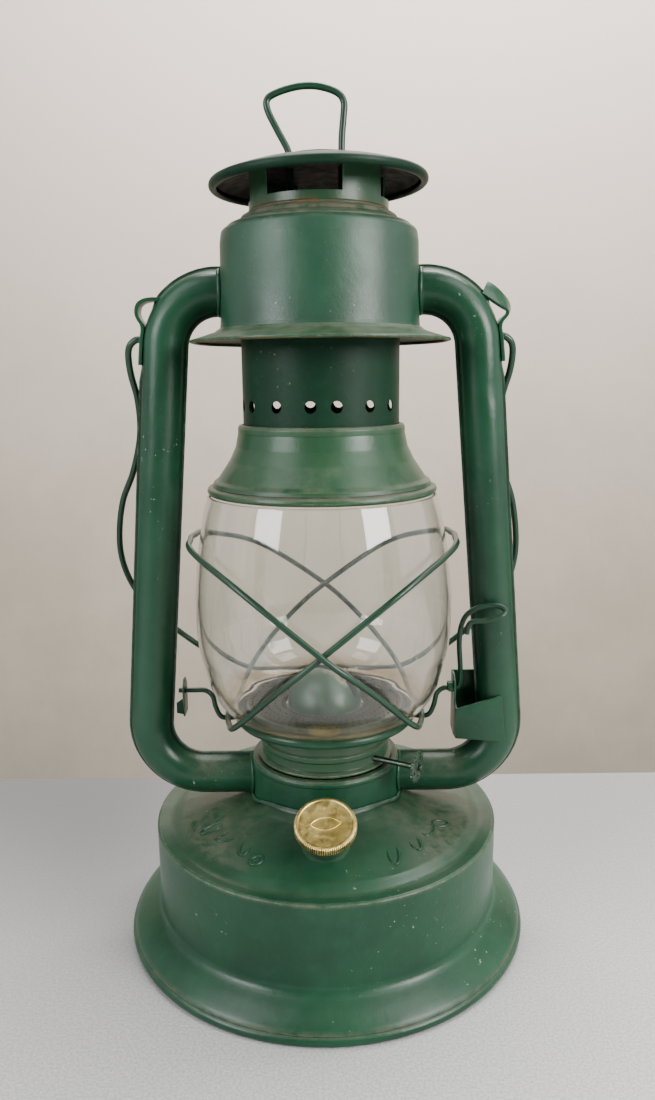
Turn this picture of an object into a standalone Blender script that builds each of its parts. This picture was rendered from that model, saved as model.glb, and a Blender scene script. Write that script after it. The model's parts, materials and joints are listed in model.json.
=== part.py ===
"""Barn lantern of the cold-blast kind, as an assembly of separate sheet-metal, wire and glass pieces.

Origin: centre of the base, on the surface it stands on.  +Z up, +X to the lantern's right side
(where the thumb loop and the wick wheel are), -Y to its front (where the filler cap is).
Dimensions are in millimetres here and become metres where a mesh or a curve is made.
"""
import math

import bmesh
import bpy
from mathutils import Matrix, Vector

MM = 0.001
GAP = 0.3                   # play between pieces that touch
SHEET = 0.6                 # tinplate thickness

# fount and base
BASE_R = 94.5
BASE_LAND_R = 90.0          # inner edge of the flat ring that the lantern stands on
WALL_R = 80.8
SHOULDER_Z = 54.0
DOME_EDGE_R = 72.7
DOME_EDGE_Z = 55.1
DOME_TOP_Z = 61.6
COLLAR_R = 35.0
COLLAR_TOP_Z = 83.1

# filler neck and cap, on an axis that leans to the front
NECK_FOOT = (0.0, -47.0, 60.0)
NECK_LEAN = math.radians(25)
NECK_R = 9.6
NECK_TOP = 13.3             # along the neck's axis, from its foot
CAP_RIM_R = 13.2
CAP_FACE_R = 11.2

# burner, wick and wick wheel
BURNER_R = 29.8
BURNER_Z = (84.4, 98.0)
DOME_R = 17.5
BURNER_DOME_Z = 107.8
WICK = (22.0, 2.6)
WICK_ANGLE = math.radians(-28)   # direction of the wick's width and of the wheel's shaft
SHAFT_Z = 87.7
SHAFT_OFFSET = 6.8          # from the lantern's axis to the shaft, towards the front
SHAFT_R = 1.4

# globe, its plate and its guard
PLATE_BEAD_R = 40.4
PLATE_BEAD_Z = 104.1
BEAD = 2.3
GLASS = 1.8
GUARD_WIRE_R = 1.35

# lift lever
LIFT_WIRE_R = 1.2
LIFT_PIVOT_Z = 114.0
CRANK_Z = 99.3              # where the wire passes under the plate's rolled rim
YOKE_R = 35.5
YOKE_Z = 106.3              # under the plate's deck, behind the burner
JOURNAL_HOLE_R = 1.65
LATCH_FACE_Y = -9.7         # front face of the right bracket
LATCH_BACK_Y = 6.3          # its back plate, against the side tube

# crown: bell, perforated sleeve and finger loop
SLEEVE_R = 34.5
SLEEVE_Z = (234.0, 290.0)
# the sleeve's holes are punched unevenly: degrees from the front towards +X
SLEEVE_HOLE_ANGLES = (-76, -58, -32, -7, 11, 36, 58, 86, 111, 137, 166, 189, 218, 242, 262)
SLEEVE_HOLE_R = 2.5
SLEEVE_HOLE_Z = 246.7
STRAP_Z = 255.0
LOOP_WIRE_R = 1.45
LOOP_LEGS_X = (-12.0, 9.8)
SPRING_Z = (257.0, 320.4)
SPRING_WIRE_R = 0.45

# canopy, neck and hood
CANOPY_R = 43.1
CANOPY_LOW_Z = 278.2
FLANGE_R = 56.0
NECK_CUP_R = 29.6
WINDOW_SILL_Z = 330.4
# each pair of facing windows: its direction and half of the angle that it takes
WINDOWS = ((math.radians(77.5), math.radians(31.4)), (math.radians(-7.5), math.radians(24)))
CHIMNEY_R = 28.6
HOOD_BEAD_R = 44.2
HOOD_Z = 338.0
HOOD_TILT = math.radians(-1.4)

# side tubes, in the XZ plane
TUBE_R = 9.1
TUBE_FIN = 10.5             # half width over the soldered seam
DUCT_R = 8.0                # holes where the tubes open into the canopy and the collar
RIGHT_OUT = 1.0             # how much further out the right tube stands at its top
# distance of each straight stretch from the axis at TUBE_LINE_Z, and how far it leans inwards
TUBE_LINE = {-1: (69.3, math.radians(4.8)), 1: (69.3 + RIGHT_OUT, math.radians(4.5))}
TUBE_LINE_Z = 258.0
TUBE_TOP_Z = 295.2
TUBE_TOP_BEND = 24.0
TUBE_LOW_Z = 72.3
TUBE_LOW_BEND = 25.0
EAR_Z = (262.0, 284.0)      # where the seam is trimmed flush for the ear

# bail
BAIL_WIRE_R = 1.5
BAIL_PIVOT_Z = 275.5
BAIL_END_X = 77.4           # the left end of its wire, in the ear
BAIL_LEAN = math.radians(17.6)
BAIL_SKEW = 2.0             # how far its bowed middle is bent to the left
BAIL_DROP = 180.0

GREEN = (0.055, 0.145, 0.105)
BRASS = (0.62, 0.46, 0.20)
STEEL = (0.33, 0.32, 0.30)
SOOT = (0.10, 0.09, 0.08)


def collection(name):
    made = bpy.data.collections.new(name)
    bpy.context.scene.collection.children.link(made)
    return made


for old in list(bpy.data.objects):
    bpy.data.objects.remove(old, do_unlink=True)
PARTS = collection("barn_lantern")
CUTTERS = collection("cutters")


# ---------------------------------------------------------------- helpers

def material(name, color, roughness=0.45, metallic=0.0, alpha=1.0):
    made = bpy.data.materials.new(name)
    made.use_nodes = True
    shader = made.node_tree.nodes["Principled BSDF"]
    shader.inputs["Base Color"].default_value = (*color, 1.0)
    shader.inputs["Roughness"].default_value = roughness
    shader.inputs["Metallic"].default_value = metallic
    shader.inputs["Alpha"].default_value = alpha
    return made


def add_object(name, data, finish=None):
    made = bpy.data.objects.new(name, data)
    PARTS.objects.link(made)
    if finish:
        data.materials.append(finish)
    return made


def arc(centre, radius, start, end, steps):
    """Points of an arc in a profile's plane, from start to end in degrees."""
    angles = [math.radians(start + (end - start) * i / steps) for i in range(steps + 1)]
    return [(centre[0] + radius * math.cos(a), centre[1] + radius * math.sin(a)) for a in angles]


def turned(name, profile, finish, steps=24, shell=SHEET, closed=False):
    """A profile of (radius, z) points turned about Z.  It runs down the outer side; a shell
    grows inwards from it.  Without a shell it is a solid."""
    mesh = bpy.data.meshes.new(name)
    verts = [(r * MM, 0.0, z * MM) for r, z in profile]
    edges = [(i, i + 1) for i in range(len(profile) - 1)]
    if closed:
        edges.append((len(profile) - 1, 0))
    mesh.from_pydata(verts, edges, [])
    made = add_object(name, mesh, finish)
    screw = made.modifiers.new("turn", "SCREW")
    screw.axis = "Z"
    screw.steps = steps
    screw.render_steps = steps
    screw.use_merge_vertices = True
    screw.merge_threshold = 0.00001
    screw.use_smooth_shade = True
    if shell:
        solidify(made, shell)
    return made


def solidify(made, thickness, offset=-1.0):
    skin = made.modifiers.new("sheet", "SOLIDIFY")
    skin.thickness = thickness * MM
    skin.offset = offset
    skin.use_even_offset = True


def smooth_path(points, per_span, cyclic=False):
    """A smooth curve through the points, as Catmull-Rom spans of per_span steps."""
    pts = [Vector(p) for p in points]
    count = len(pts)
    ends = pts if cyclic else [2 * pts[0] - pts[1]] + pts + [2 * pts[-1] - pts[-2]]
    out = []
    for i in range(count if cyclic else count - 1):
        quad = [ends[(i + k - 1) % count] for k in range(4)] if cyclic else ends[i:i + 4]
        a, b, c, d = quad
        for k in range(per_span):
            t = k / per_span
            out.append(0.5 * (2 * b + (c - a) * t + (2 * a - 5 * b + 4 * c - d) * t ** 2
                              + (3 * b - a - 3 * c + d) * t ** 3))
    if not cyclic:
        out.append(pts[-1])
    return out


def wire(name, points, radius, finish, cyclic=False, resolution=2, pivot=(0, 0, 0)):
    """A round wire through the points; its origin is at pivot, both in millimetres."""
    data = bpy.data.curves.new(name, "CURVE")
    data.dimensions = "3D"
    data.bevel_depth = radius * MM
    data.bevel_resolution = resolution
    data.use_fill_caps = not cyclic
    spline = data.splines.new("POLY")
    spline.points.add(len(points) - 1)
    for slot, point in zip(spline.points, points):
        slot.co = (*((Vector(point) - Vector(pivot)) * MM), 1.0)
    spline.use_cyclic_u = cyclic
    made = add_object(name, data, finish)
    made.location = Vector(pivot) * MM
    return made


def plate(name, outlines, thickness, finish):
    """A flat sheet in the XY plane: the first outline with the others as holes."""
    data = bpy.data.curves.new(name, "CURVE")
    data.dimensions = "2D"
    data.fill_mode = "BOTH"
    data.extrude = thickness * MM / 2
    for outline in outlines:
        spline = data.splines.new("POLY")
        spline.points.add(len(outline) - 1)
        for slot, (x, y) in zip(spline.points, outline):
            slot.co = (x * MM, y * MM, 0.0, 1.0)
        spline.use_cyclic_u = True
    return add_object(name, data, finish)


def circle(x, y, radius, steps=12):
    turn = 2 * math.pi / steps
    return [(x + radius * math.cos(i * turn), y + radius * math.sin(i * turn)) for i in range(steps)]


def as_mesh(made):
    """Replaces a curve object by the mesh it draws, with its caps welded on."""
    name = made.name
    evaluated = made.evaluated_get(bpy.context.evaluated_depsgraph_get())
    mesh = bpy.data.meshes.new_from_object(evaluated)
    body = bmesh.new()
    body.from_mesh(mesh)
    bmesh.ops.remove_doubles(body, verts=body.verts, dist=0.00001)
    bmesh.ops.recalc_face_normals(body, faces=body.faces)
    body.to_mesh(mesh)
    body.free()
    placed = made.matrix_world.copy()
    bpy.data.objects.remove(made, do_unlink=True)
    mesh.name = name
    out = add_object(name, mesh)
    out.matrix_world = placed
    return out


def boolean(target, tool, operation="DIFFERENCE"):
    cut = target.modifiers.new(operation.lower(), "BOOLEAN")
    cut.operation = operation
    cut.solver = "EXACT"
    cut.object = tool
    tool.hide_render = True
    tool.display_type = "WIRE"
    if tool.name not in CUTTERS.objects:
        CUTTERS.objects.link(tool)
        PARTS.objects.unlink(tool)


def box_tool(name, size, matrix):
    body = bmesh.new()
    bmesh.ops.create_cube(body, size=1.0)
    bmesh.ops.scale(body, vec=Vector(size) * MM, verts=body.verts)
    mesh = bpy.data.meshes.new(name)
    body.to_mesh(mesh)
    body.free()
    made = add_object(name, mesh)
    made.matrix_world = matrix
    return made


def rod_tool(name, radius, length, matrix, segments=16):
    body = bmesh.new()
    bmesh.ops.create_cone(body, cap_ends=True, segments=segments, radius1=radius * MM,
                          radius2=radius * MM, depth=length * MM)
    mesh = bpy.data.meshes.new(name)
    body.to_mesh(mesh)
    body.free()
    made = add_object(name, mesh)
    made.matrix_world = matrix
    return made


def at(x, y, z, turn=None):
    place = Matrix.Translation(Vector((x, y, z)) * MM)
    return place @ turn.to_4x4() if turn else place


def about(axis, angle):
    return Matrix.Rotation(angle, 3, axis)


# ---------------------------------------------------------------- fount

def fount():
    paint = material("fount_paint", GREEN)
    shell = turned("fount_shell", [
        (COLLAR_R + GAP + 0.6, DOME_TOP_Z),
        (40.0, 61.0),
        (DOME_EDGE_R, DOME_EDGE_Z),
        (78.8, SHOULDER_Z + 0.5),
        (WALL_R, SHOULDER_Z - 1.2),
        (WALL_R - 0.2, 18.0),
        *arc((86.6, 17.6), 5.0, 200, 250, 2),
        (90.2, 9.4),
        (93.4, 6.0),
        (BASE_R, 3.6),
        (BASE_R, 1.0),
        (BASE_R - 0.9, 0.0),
        (BASE_LAND_R, 0.0),
    ], paint, steps=28)
    hole = rod_tool("filler_hole_cutter", NECK_R + GAP + 0.2, 16.0, neck_place(0.0), 20)
    boolean(shell, hole)
    turned("fount_bottom", [(0.0, 4.2), (70.0, 4.2), (77.0, 8.0), (78.6, 8.0), (78.6, 7.0),
                            (77.4, 7.0), (70.4, 3.2), (0.0, 3.2)],
           material("fount_bottom_tin", STEEL, 0.5, 0.6), shell=None)


def neck_place(along):
    """Matrix of the filler neck's frame, its Z along the neck's axis."""
    turn = about("X", NECK_LEAN)
    foot = Vector(NECK_FOOT) + turn @ Vector((0, 0, along))
    return at(*foot, turn)


def filler():
    neck = turned("filler_neck", [
        (NECK_R, NECK_TOP), (NECK_R, 8.6), (NECK_R, -3.4)],
        material("neck_paint", GREEN), steps=20, shell=0.8)
    neck.matrix_world = neck_place(0.0)
    gasket = turned("cap_gasket", [(11.0, 14.9), (11.0, 13.7), (6.4, 13.7), (6.4, 14.9)],
                    material("gasket_cork", (0.25, 0.17, 0.10), 0.9), steps=20, shell=None,
                    closed=True)
    gasket.matrix_world = neck_place(0.0)
    cap = turned("fuel_cap", [
        (0.0, 16.0), (CAP_FACE_R - 0.6, 16.0), (CAP_FACE_R, 16.5), (12.2, 15.4), (CAP_RIM_R, 14.2),
        (CAP_RIM_R, 12.2), (12.4, 11.4), (11.5, 11.4), (11.5, 15.2), (0.0, 15.2)],
        material("cap_brass", BRASS, 0.35, 1.0), steps=24, shell=None)
    cap.matrix_world = neck_place(0.0)


# ---------------------------------------------------------------- burner

def burner():
    drum = turned("collar_drum", [(24.0, COLLAR_TOP_Z), (COLLAR_R - 1.0, COLLAR_TOP_Z),
                                  (COLLAR_R, COLLAR_TOP_Z - 1.0), (COLLAR_R, DOME_TOP_Z - 0.6)],
                  material("collar_paint", GREEN))
    duct = rod_tool("collar_duct_cutter", DUCT_R, 90.0, at(0, 0, TUBE_LOW_Z, about("Y", math.pi / 2)))
    boolean(drum, duct)

    ring = turned("burner_ring", [(BURNER_R, BURNER_Z[1]), (BURNER_R, BURNER_Z[0] - 0.4),
                                  (14.6, BURNER_Z[0] - 0.4)],
                  material("burner_ring_metal", SOOT, 0.6, 0.4))
    turn = about("Z", WICK_ANGLE) @ about("Y", math.pi / 2)
    foot = about("Z", WICK_ANGLE) @ Vector((28.0, -SHAFT_OFFSET, 0))
    boolean(ring, rod_tool("shaft_hole_cutter", SHAFT_R + 0.5, 12.0, at(foot.x, foot.y, SHAFT_Z, turn)))

    tube = wick_box("wick_tube", 25.0, 5.2, 62.0, 115.6, material("wick_tube_brass", BRASS, 0.5, 1.0))
    bore = wick_box("wick_bore_cutter", 23.4, 3.6, 60.0, 118.0)
    window = box_tool("spur_window_cutter", (13.6, 5.0, 8.4),
                      at(*(about("Z", WICK_ANGLE) @ Vector((0, -3.6, SHAFT_Z))), about("Z", WICK_ANGLE)))
    boolean(tube, bore)
    boolean(tube, window)
    wick_box("wick", *WICK, 24.0, 120.6, material("wick_cotton", (0.62, 0.58, 0.50), 0.95))

    dome = turned("burner_dome", [
        *arc((0.0, BURNER_DOME_Z), DOME_R, 90, 0, 4), (DOME_R, 99.6), (28.6, 98.4)],
        material("burner_dome_metal", SOOT, 0.5, 0.5))
    slot = box_tool("slot_cutter", (34.0, 4.8, 20.0),
                    at(0, 0, 123.6, about("Z", WICK_ANGLE)))
    boolean(dome, slot)

    wheel = turned("wick_wheel", [
        (0.0, 52.0), (SHAFT_R, 52.0), (SHAFT_R, 50.8), (6.2, 50.8), (7.0, 50.3), (7.0, 49.7), (6.2, 49.2),
        (SHAFT_R, 49.2), (SHAFT_R, 5.9), (5.2, 5.9), (5.2, 4.5), (SHAFT_R, 4.5),
        (SHAFT_R, -4.5), (5.2, -4.5), (5.2, -5.9), (SHAFT_R, -5.9), (SHAFT_R, -9.0), (0.0, -9.0)],
        material("wick_wheel_steel", STEEL, 0.5, 0.8), steps=12, shell=None)
    foot = about("Z", WICK_ANGLE) @ Vector((0, -SHAFT_OFFSET, 0))
    wheel.matrix_world = at(foot.x, foot.y, SHAFT_Z, turn)


def wick_box(name, width, depth, low, high, finish=None):
    """An upright flat bar with its width along the wick's direction."""
    made = box_tool(name, (width, depth, high - low), at(0, 0, (low + high) / 2, about("Z", WICK_ANGLE)))
    if finish:
        made.data.materials.append(finish)
    return made


# ---------------------------------------------------------------- globe and its carrier

def globe_carrier():
    paint = material("plate_paint", GREEN)
    turned("globe_plate", [
        (DOME_R + 0.7, 107.4), (36.6, 108.9), (37.7, 108.2), (38.3, PLATE_BEAD_Z + BEAD),
        *arc((PLATE_BEAD_R, PLATE_BEAD_Z), BEAD, 88, -100, 4), (38.6, PLATE_BEAD_Z - BEAD + 0.5)],
        paint)
    foot = PLATE_BEAD_Z + BEAD + GAP
    turned("globe", [
        (51.3, 207.9), (54.0, 197.0), (57.1, 179.0), (58.8, 157.0), (57.8, 138.0), (53.2, 118.6),
        (48.4, 110.9), (44.0, foot + 0.6), (42.0, foot)],
        material("globe_glass", (0.85, 0.87, 0.84), 0.05, 0.0, 0.3), steps=28, shell=GLASS)
    for name, side, crossing in (("guard_wire_left", -1, 64.0), ("guard_wire_right", 1, 60.8)):
        front = [(59.5, -6), (55.6, -25), (33.0, -51.5), (0.0, -crossing), (-20.0, -57.5), (-37.5, -44.0),
                 (-43.6, -17.0), (-45.6, -5.0)]
        heights = [187.6, 185.6, 174.5, 150.2, 133.0, 114.0, 103.4, 103.0]
        half = [(side * x, y, z) for (x, y), z in zip(front, heights)]
        back = [(x, -y, z) for x, y, z in reversed(half)]
        wire(name, smooth_path(half + back, 3, cyclic=True), GUARD_WIRE_R,
             material(name + "_paint", GREEN), cyclic=True, resolution=1)


def lift_lever():
    """One bent wire: left journal, crank, yoke behind the burner, crank, right journal, thumb loop."""
    z = LIFT_PIVOT_Z
    crank = [(56.5, 0, z - 0.2), (53.2, 0, z - 3.0), (51.9, 0, z - 8.5), (49.6, 0, z - 13.2),
             (45.5, 1.5, CRANK_Z), (39.0, 5.0, CRANK_Z), (36.0, 8.0, CRANK_Z + 2.0)]
    yoke = [(x, y, YOKE_Z) for x, y in arc((0, 0), YOKE_R, 156, 24, 8)]
    loop = [(62.4, 0, z), (63.9, -0.2, z + 2.4), (63.8, -2.0, z + 10), (62.4, -6.2, z + 23),
            (62.4, -9.4, z + 32), (64.4, -11.4, z + 38.4), (69.1, -12.0, z + 42), (75.0, -12.2, z + 43.2),
            (79.6, -12.8, z + 42.8), (81.6, -14.4, z + 41.2), (79.4, -16.4, z + 39.4),
            (72.2, -17.0, z + 37.6), (66.6, -17.0, z + 37.2), (64.6, -16.8, z + 35.2),
            (64.0, -16.4, z + 31.4)]
    path = [(-69.0, 0, z), (-61.5, 0, z)] + [(-x, y, h) for x, y, h in crank]
    path += yoke + crank[::-1] + loop
    wire("lift_lever", smooth_path(path, 2), LIFT_WIRE_R, material("lever_paint", GREEN),
         resolution=1, pivot=(0, 0, z))


def lever_brackets():
    """The two sheet brackets soldered to the side tubes that the lift lever turns in."""
    z = LIFT_PIVOT_Z
    flange = [(LATCH_FACE_Y, z - 21.5), (-2.0, z - 22.8), (LATCH_BACK_Y, z - 21.5),
              (LATCH_BACK_Y, z + 6.8), (0.2, z + 6.8), (-3.6, z + 4.6), (-4.4, z - 5.4),
              (LATCH_FACE_Y, z - 6.8)]
    upright = about("Z", math.pi / 2) @ about("X", math.pi / 2)
    ear = plate("right_latch_bracket", [flange, circle(0, z, JOURNAL_HOLE_R)], 0.8,
                material("bracket_paint", GREEN))
    ear.matrix_world = at(61.2, 0, 0, upright)
    ear = as_mesh(ear)
    outline = [(60.8, z - 21.5), (60.8, z - 6.8), (82.0, z - 0.4), (84.2, z - 23.4)]
    face = plate("latch_face_tool", [outline], 0.8, None)
    face.matrix_world = at(0, LATCH_FACE_Y - 0.2, 0, about("X", math.pi / 2))
    boolean(ear, as_mesh(face), "UNION")
    outline = [(60.8, z - 21.3), (75.2, z - 21.3), (72.9, z + 6.6), (60.8, z + 6.6)]
    back = plate("latch_back_tool", [outline], 0.8, None)
    back.matrix_world = at(0, LATCH_BACK_Y - 0.3, 0, about("X", math.pi / 2))
    boolean(ear, as_mesh(back), "UNION")

    flange = [(-4.6, z - 11.6), (4.6, z - 11.6), (5.2, z + 2.0), (2.0, z + 6.2), (-2.0, z + 6.2),
              (-5.2, z + 2.0)]
    guide = plate("left_guide_bracket", [flange, circle(0, z, JOURNAL_HOLE_R)], 0.8,
                  material("guide_paint", GREEN))
    guide.matrix_world = at(-66.2, 0, 0, upright)
    guide = as_mesh(guide)
    web = box_tool("guide_web_tool", (5.2, 0.8, 13.0), at(-68.6, -4.4, z - 5.0))
    boolean(guide, web, "UNION")


# ---------------------------------------------------------------- side tubes

def tube_path(side):
    """Centreline of a side tube from canopy to collar: (distance from the axis, z, direction)."""
    line_x, slope = TUBE_LINE[side]

    def straight(z):
        return line_x + (TUBE_LINE_Z - z) * math.tan(slope)

    out_x, down = math.sin(slope), math.cos(slope)
    top_end_z = TUBE_TOP_Z - TUBE_TOP_BEND + TUBE_TOP_BEND * out_x
    top_x = straight(top_end_z) - TUBE_TOP_BEND * down
    low_end_z = TUBE_LOW_Z + TUBE_LOW_BEND + TUBE_LOW_BEND * out_x
    low_x = straight(low_end_z) - TUBE_LOW_BEND * down
    points = []
    first = math.acos((CANOPY_R + 0.9 - top_x) / TUBE_TOP_BEND)
    for i in range(6):
        a = first + (slope - first) * i / 5
        points.append((top_x + TUBE_TOP_BEND * math.cos(a),
                       TUBE_TOP_Z - TUBE_TOP_BEND * (1 - math.sin(a)), a))
    points[0] = (*points[0][:2], math.pi / 2)       # cut upright where it meets the canopy
    points += [(straight(z), z, slope) for z in (EAR_Z[0] + 2.0, EAR_Z[0] - 2.0)]
    for i in range(7):
        a = slope - (slope + math.pi / 2) * i / 6
        points.append((low_x + TUBE_LOW_BEND * math.cos(a),
                       TUBE_LOW_Z + TUBE_LOW_BEND * (1 + math.sin(a)), a))
    points.append((COLLAR_R + 0.7, TUBE_LOW_Z, -math.pi / 2))
    return points


def side_tubes():
    """Each tube is a front and a back pressing, soldered along flat seam flanges."""
    edge = GAP / 2 + 0.5
    section = [(TUBE_FIN, edge)] + arc((0, 0), TUBE_R, 4, 176, 6) + [(-TUBE_FIN, edge)]
    trimmed = [(TUBE_R + 0.1, edge)] + section[1:-1] + [(-TUBE_R - 0.1, edge)]
    for side, side_name in ((-1, "left"), (1, "right")):
        for face, face_name in ((-1, "front"), (1, "back")):
            name = "side_tube_%s_%s" % (side_name, face_name)
            body = bmesh.new()
            rings = []
            for x, z, a in tube_path(side):
                under_ear = EAR_Z[0] < z < EAR_Z[1]
                rings.append([body.verts.new((side * (x + out * math.cos(a)) * MM, face * depth * MM,
                                              (z + out * math.sin(a)) * MM))
                              for out, depth in (trimmed if under_ear else section)])
            for ring, following in zip(rings, rings[1:]):
                for i in range(len(section) - 1):
                    corners = [ring[i], ring[i + 1], following[i + 1], following[i]]
                    body.faces.new(corners if side * face < 0 else corners[::-1])
            mesh = bpy.data.meshes.new(name)
            body.to_mesh(mesh)
            body.free()
            made = add_object(name, mesh, material(name + "_paint", GREEN))
            solidify(made, 0.5)


def ears():
    """Strips bent outwards on each elbow; the bail's ends turn in their holes.

    The right one's upper end is sprung open.
    """
    foot = [(76.8, 279.2), (77.6, 275.8), (78.1, 272.5), (78.5, 268.0), (78.7, 265.4)]
    bends = ((-1, "left_ear", [(72.0, 293.0), (75.6, 291.8), (78.2, 289.9), (79.0, 287.0), (78.2, 284.4),
                               (76.8, 281.8)]),
             (1, "right_ear", [(71.0, 295.6), (73.4, 294.2), (76.8, 291.6), (80.2, 288.6), (81.4, 286.2),
                               (80.8, 284.2), (78.6, 282.4)]))
    half = 0.4
    for side, name, bend in bends:
        strip = bend + [(x + (RIGHT_OUT if side > 0 else 0.0), z) for x, z in foot]
        outline = []
        inner = []
        for i, (x, z) in enumerate(strip):
            before = Vector(strip[max(i - 1, 0)])
            after = Vector(strip[min(i + 1, len(strip) - 1)])
            along = (after - before).normalized()
            outline.append((x - along.y * half, z + along.x * half))
            inner.append((x + along.y * half, z - along.x * half))
        outline = [(side * x, z) for x, z in outline + inner[::-1]]
        made = plate(name, [outline], 8.0, material(name + "_paint", GREEN))
        made.matrix_world = at(0, 0, 0, about("X", math.pi / 2))
        made = as_mesh(made)
        hole = rod_tool(name + "_hole_cutter", BAIL_WIRE_R + 0.4, 6.0,
                        at(side * BAIL_END_X, 0, BAIL_PIVOT_Z, about("Y", math.pi / 2)), 12)
        boolean(made, hole)


# ---------------------------------------------------------------- bail

def bail():
    """One wire in a plane that leans back from the pivots; points are (x, distance below them)."""
    half = [(BAIL_END_X, 0.0), (80.6, 0.2), (83.6, 3.0), (84.6, 8.0), (84.2, 16.0), (82.2, 28.0),
            (82.4, 44.0), (86.8, 62.0), (93.4, 78.0), (97.2, 96.0), (97.8, 111.0), (94.6, 126.0),
            (86.4, 142.0), (75.2, 154.0), (64.6, 164.0), (54.0, 171.6), (41.0, 178.2),
            (22.0, 179.6), (0.0, 178.4)]
    flat = [(-x, d) for x, d in half] + list(reversed(half[1:-1])) + [(BAIL_END_X + RIGHT_OUT, 0.0)]
    flat = [(x - BAIL_SKEW * math.sin(math.pi * d / BAIL_DROP) ** 2, d) for x, d in flat]
    lean = BAIL_LEAN
    path = [(x, d * math.sin(lean), BAIL_PIVOT_Z - d * math.cos(lean)) for x, d in flat]
    wire("bail", smooth_path(path, 2), BAIL_WIRE_R, material("bail_paint", GREEN), resolution=1,
         pivot=(0, 0, BAIL_PIVOT_Z))


# ---------------------------------------------------------------- crown

def crown():
    paint = material("crown_paint", GREEN)
    turned("crown_bell", [
        (35.7, 238.4), (36.9, 235.7), (38.4, 229.2), (41.6, 222.9), (46.2, 215.2),
        (48.6, 213.4), (51.3, 211.0), (51.3, 208.2), (46.5, 208.2)], paint)
    sleeve = turned("crown_sleeve", [(SLEEVE_R, SLEEVE_Z[1]), (SLEEVE_R, SLEEVE_HOLE_Z + 4),
                                     (SLEEVE_R, SLEEVE_HOLE_Z - 4), (SLEEVE_R, SLEEVE_Z[0])],
                    material("sleeve_paint", GREEN), steps=30)
    drills = bmesh.new()
    for degrees in SLEEVE_HOLE_ANGLES:
        a = math.radians(degrees - 90)
        place = at(SLEEVE_R * math.cos(a), SLEEVE_R * math.sin(a), SLEEVE_HOLE_Z,
                   about("Z", a) @ about("Y", math.pi / 2))
        bmesh.ops.create_cone(drills, cap_ends=True, segments=6, radius1=SLEEVE_HOLE_R * MM,
                              radius2=SLEEVE_HOLE_R * MM, depth=8 * MM, matrix=place)
    mesh = bpy.data.meshes.new("sleeve_holes_cutter")
    drills.to_mesh(mesh)
    drills.free()
    boolean(sleeve, add_object("sleeve_holes_cutter", mesh))

    reach = SLEEVE_R - SHEET - GAP - 0.8
    strap = plate("crown_strap", [[(-reach, -4), (reach, -4), (reach, 4), (-reach, 4)]]
                  + [circle(x, 0, LOOP_WIRE_R + 0.3, 10) for x in LOOP_LEGS_X], 1.2,
                  material("strap_tin", STEEL, 0.5, 0.7))
    strap.location = (0, 0, STRAP_Z * MM)

    left, right = LOOP_LEGS_X
    bow = [(left, 0, 346.0), (-12.6, 0, 351.6), (-16.8, 0, 359.5), (-20.6, 0, 367.0), (-20.9, 0, 371.2),
           (-17.6, 0, 373.6), (-10.8, 0, 375.7), (-4.4, 0, 376.5), (2.0, 0, 375.9), (8.4, 0, 373.6),
           (10.9, 0, 370.0), (10.7, 0, 364.5), (10.0, 0, 357.0), (right, 0, 350.0)]
    path = [(left, 0, STRAP_Z - 2.0), (left, 0, 300.0)] + smooth_path(bow, 2) + [(right, 0, 300.0)]
    path.append((right, 0, STRAP_Z - 2.0))
    wire("finger_loop", path, LOOP_WIRE_R, material("loop_paint", GREEN))

    for side, x in zip(("left", "right"), LOOP_LEGS_X):
        turns, per_turn, radius = 6, 6, 2.7
        low, high = SPRING_Z
        coil = []
        for i in range(turns * per_turn + 1):
            a = 2 * math.pi * i / per_turn
            coil.append((x + radius * math.cos(a), radius * math.sin(a),
                         low + 0.8 + (high - low - 1.6) * i / (turns * per_turn)))
        wire("crown_spring_" + side, coil, SPRING_WIRE_R,
             material("spring_steel_" + side, STEEL, 0.4, 1.0), resolution=0)


# ---------------------------------------------------------------- canopy and hood

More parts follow.
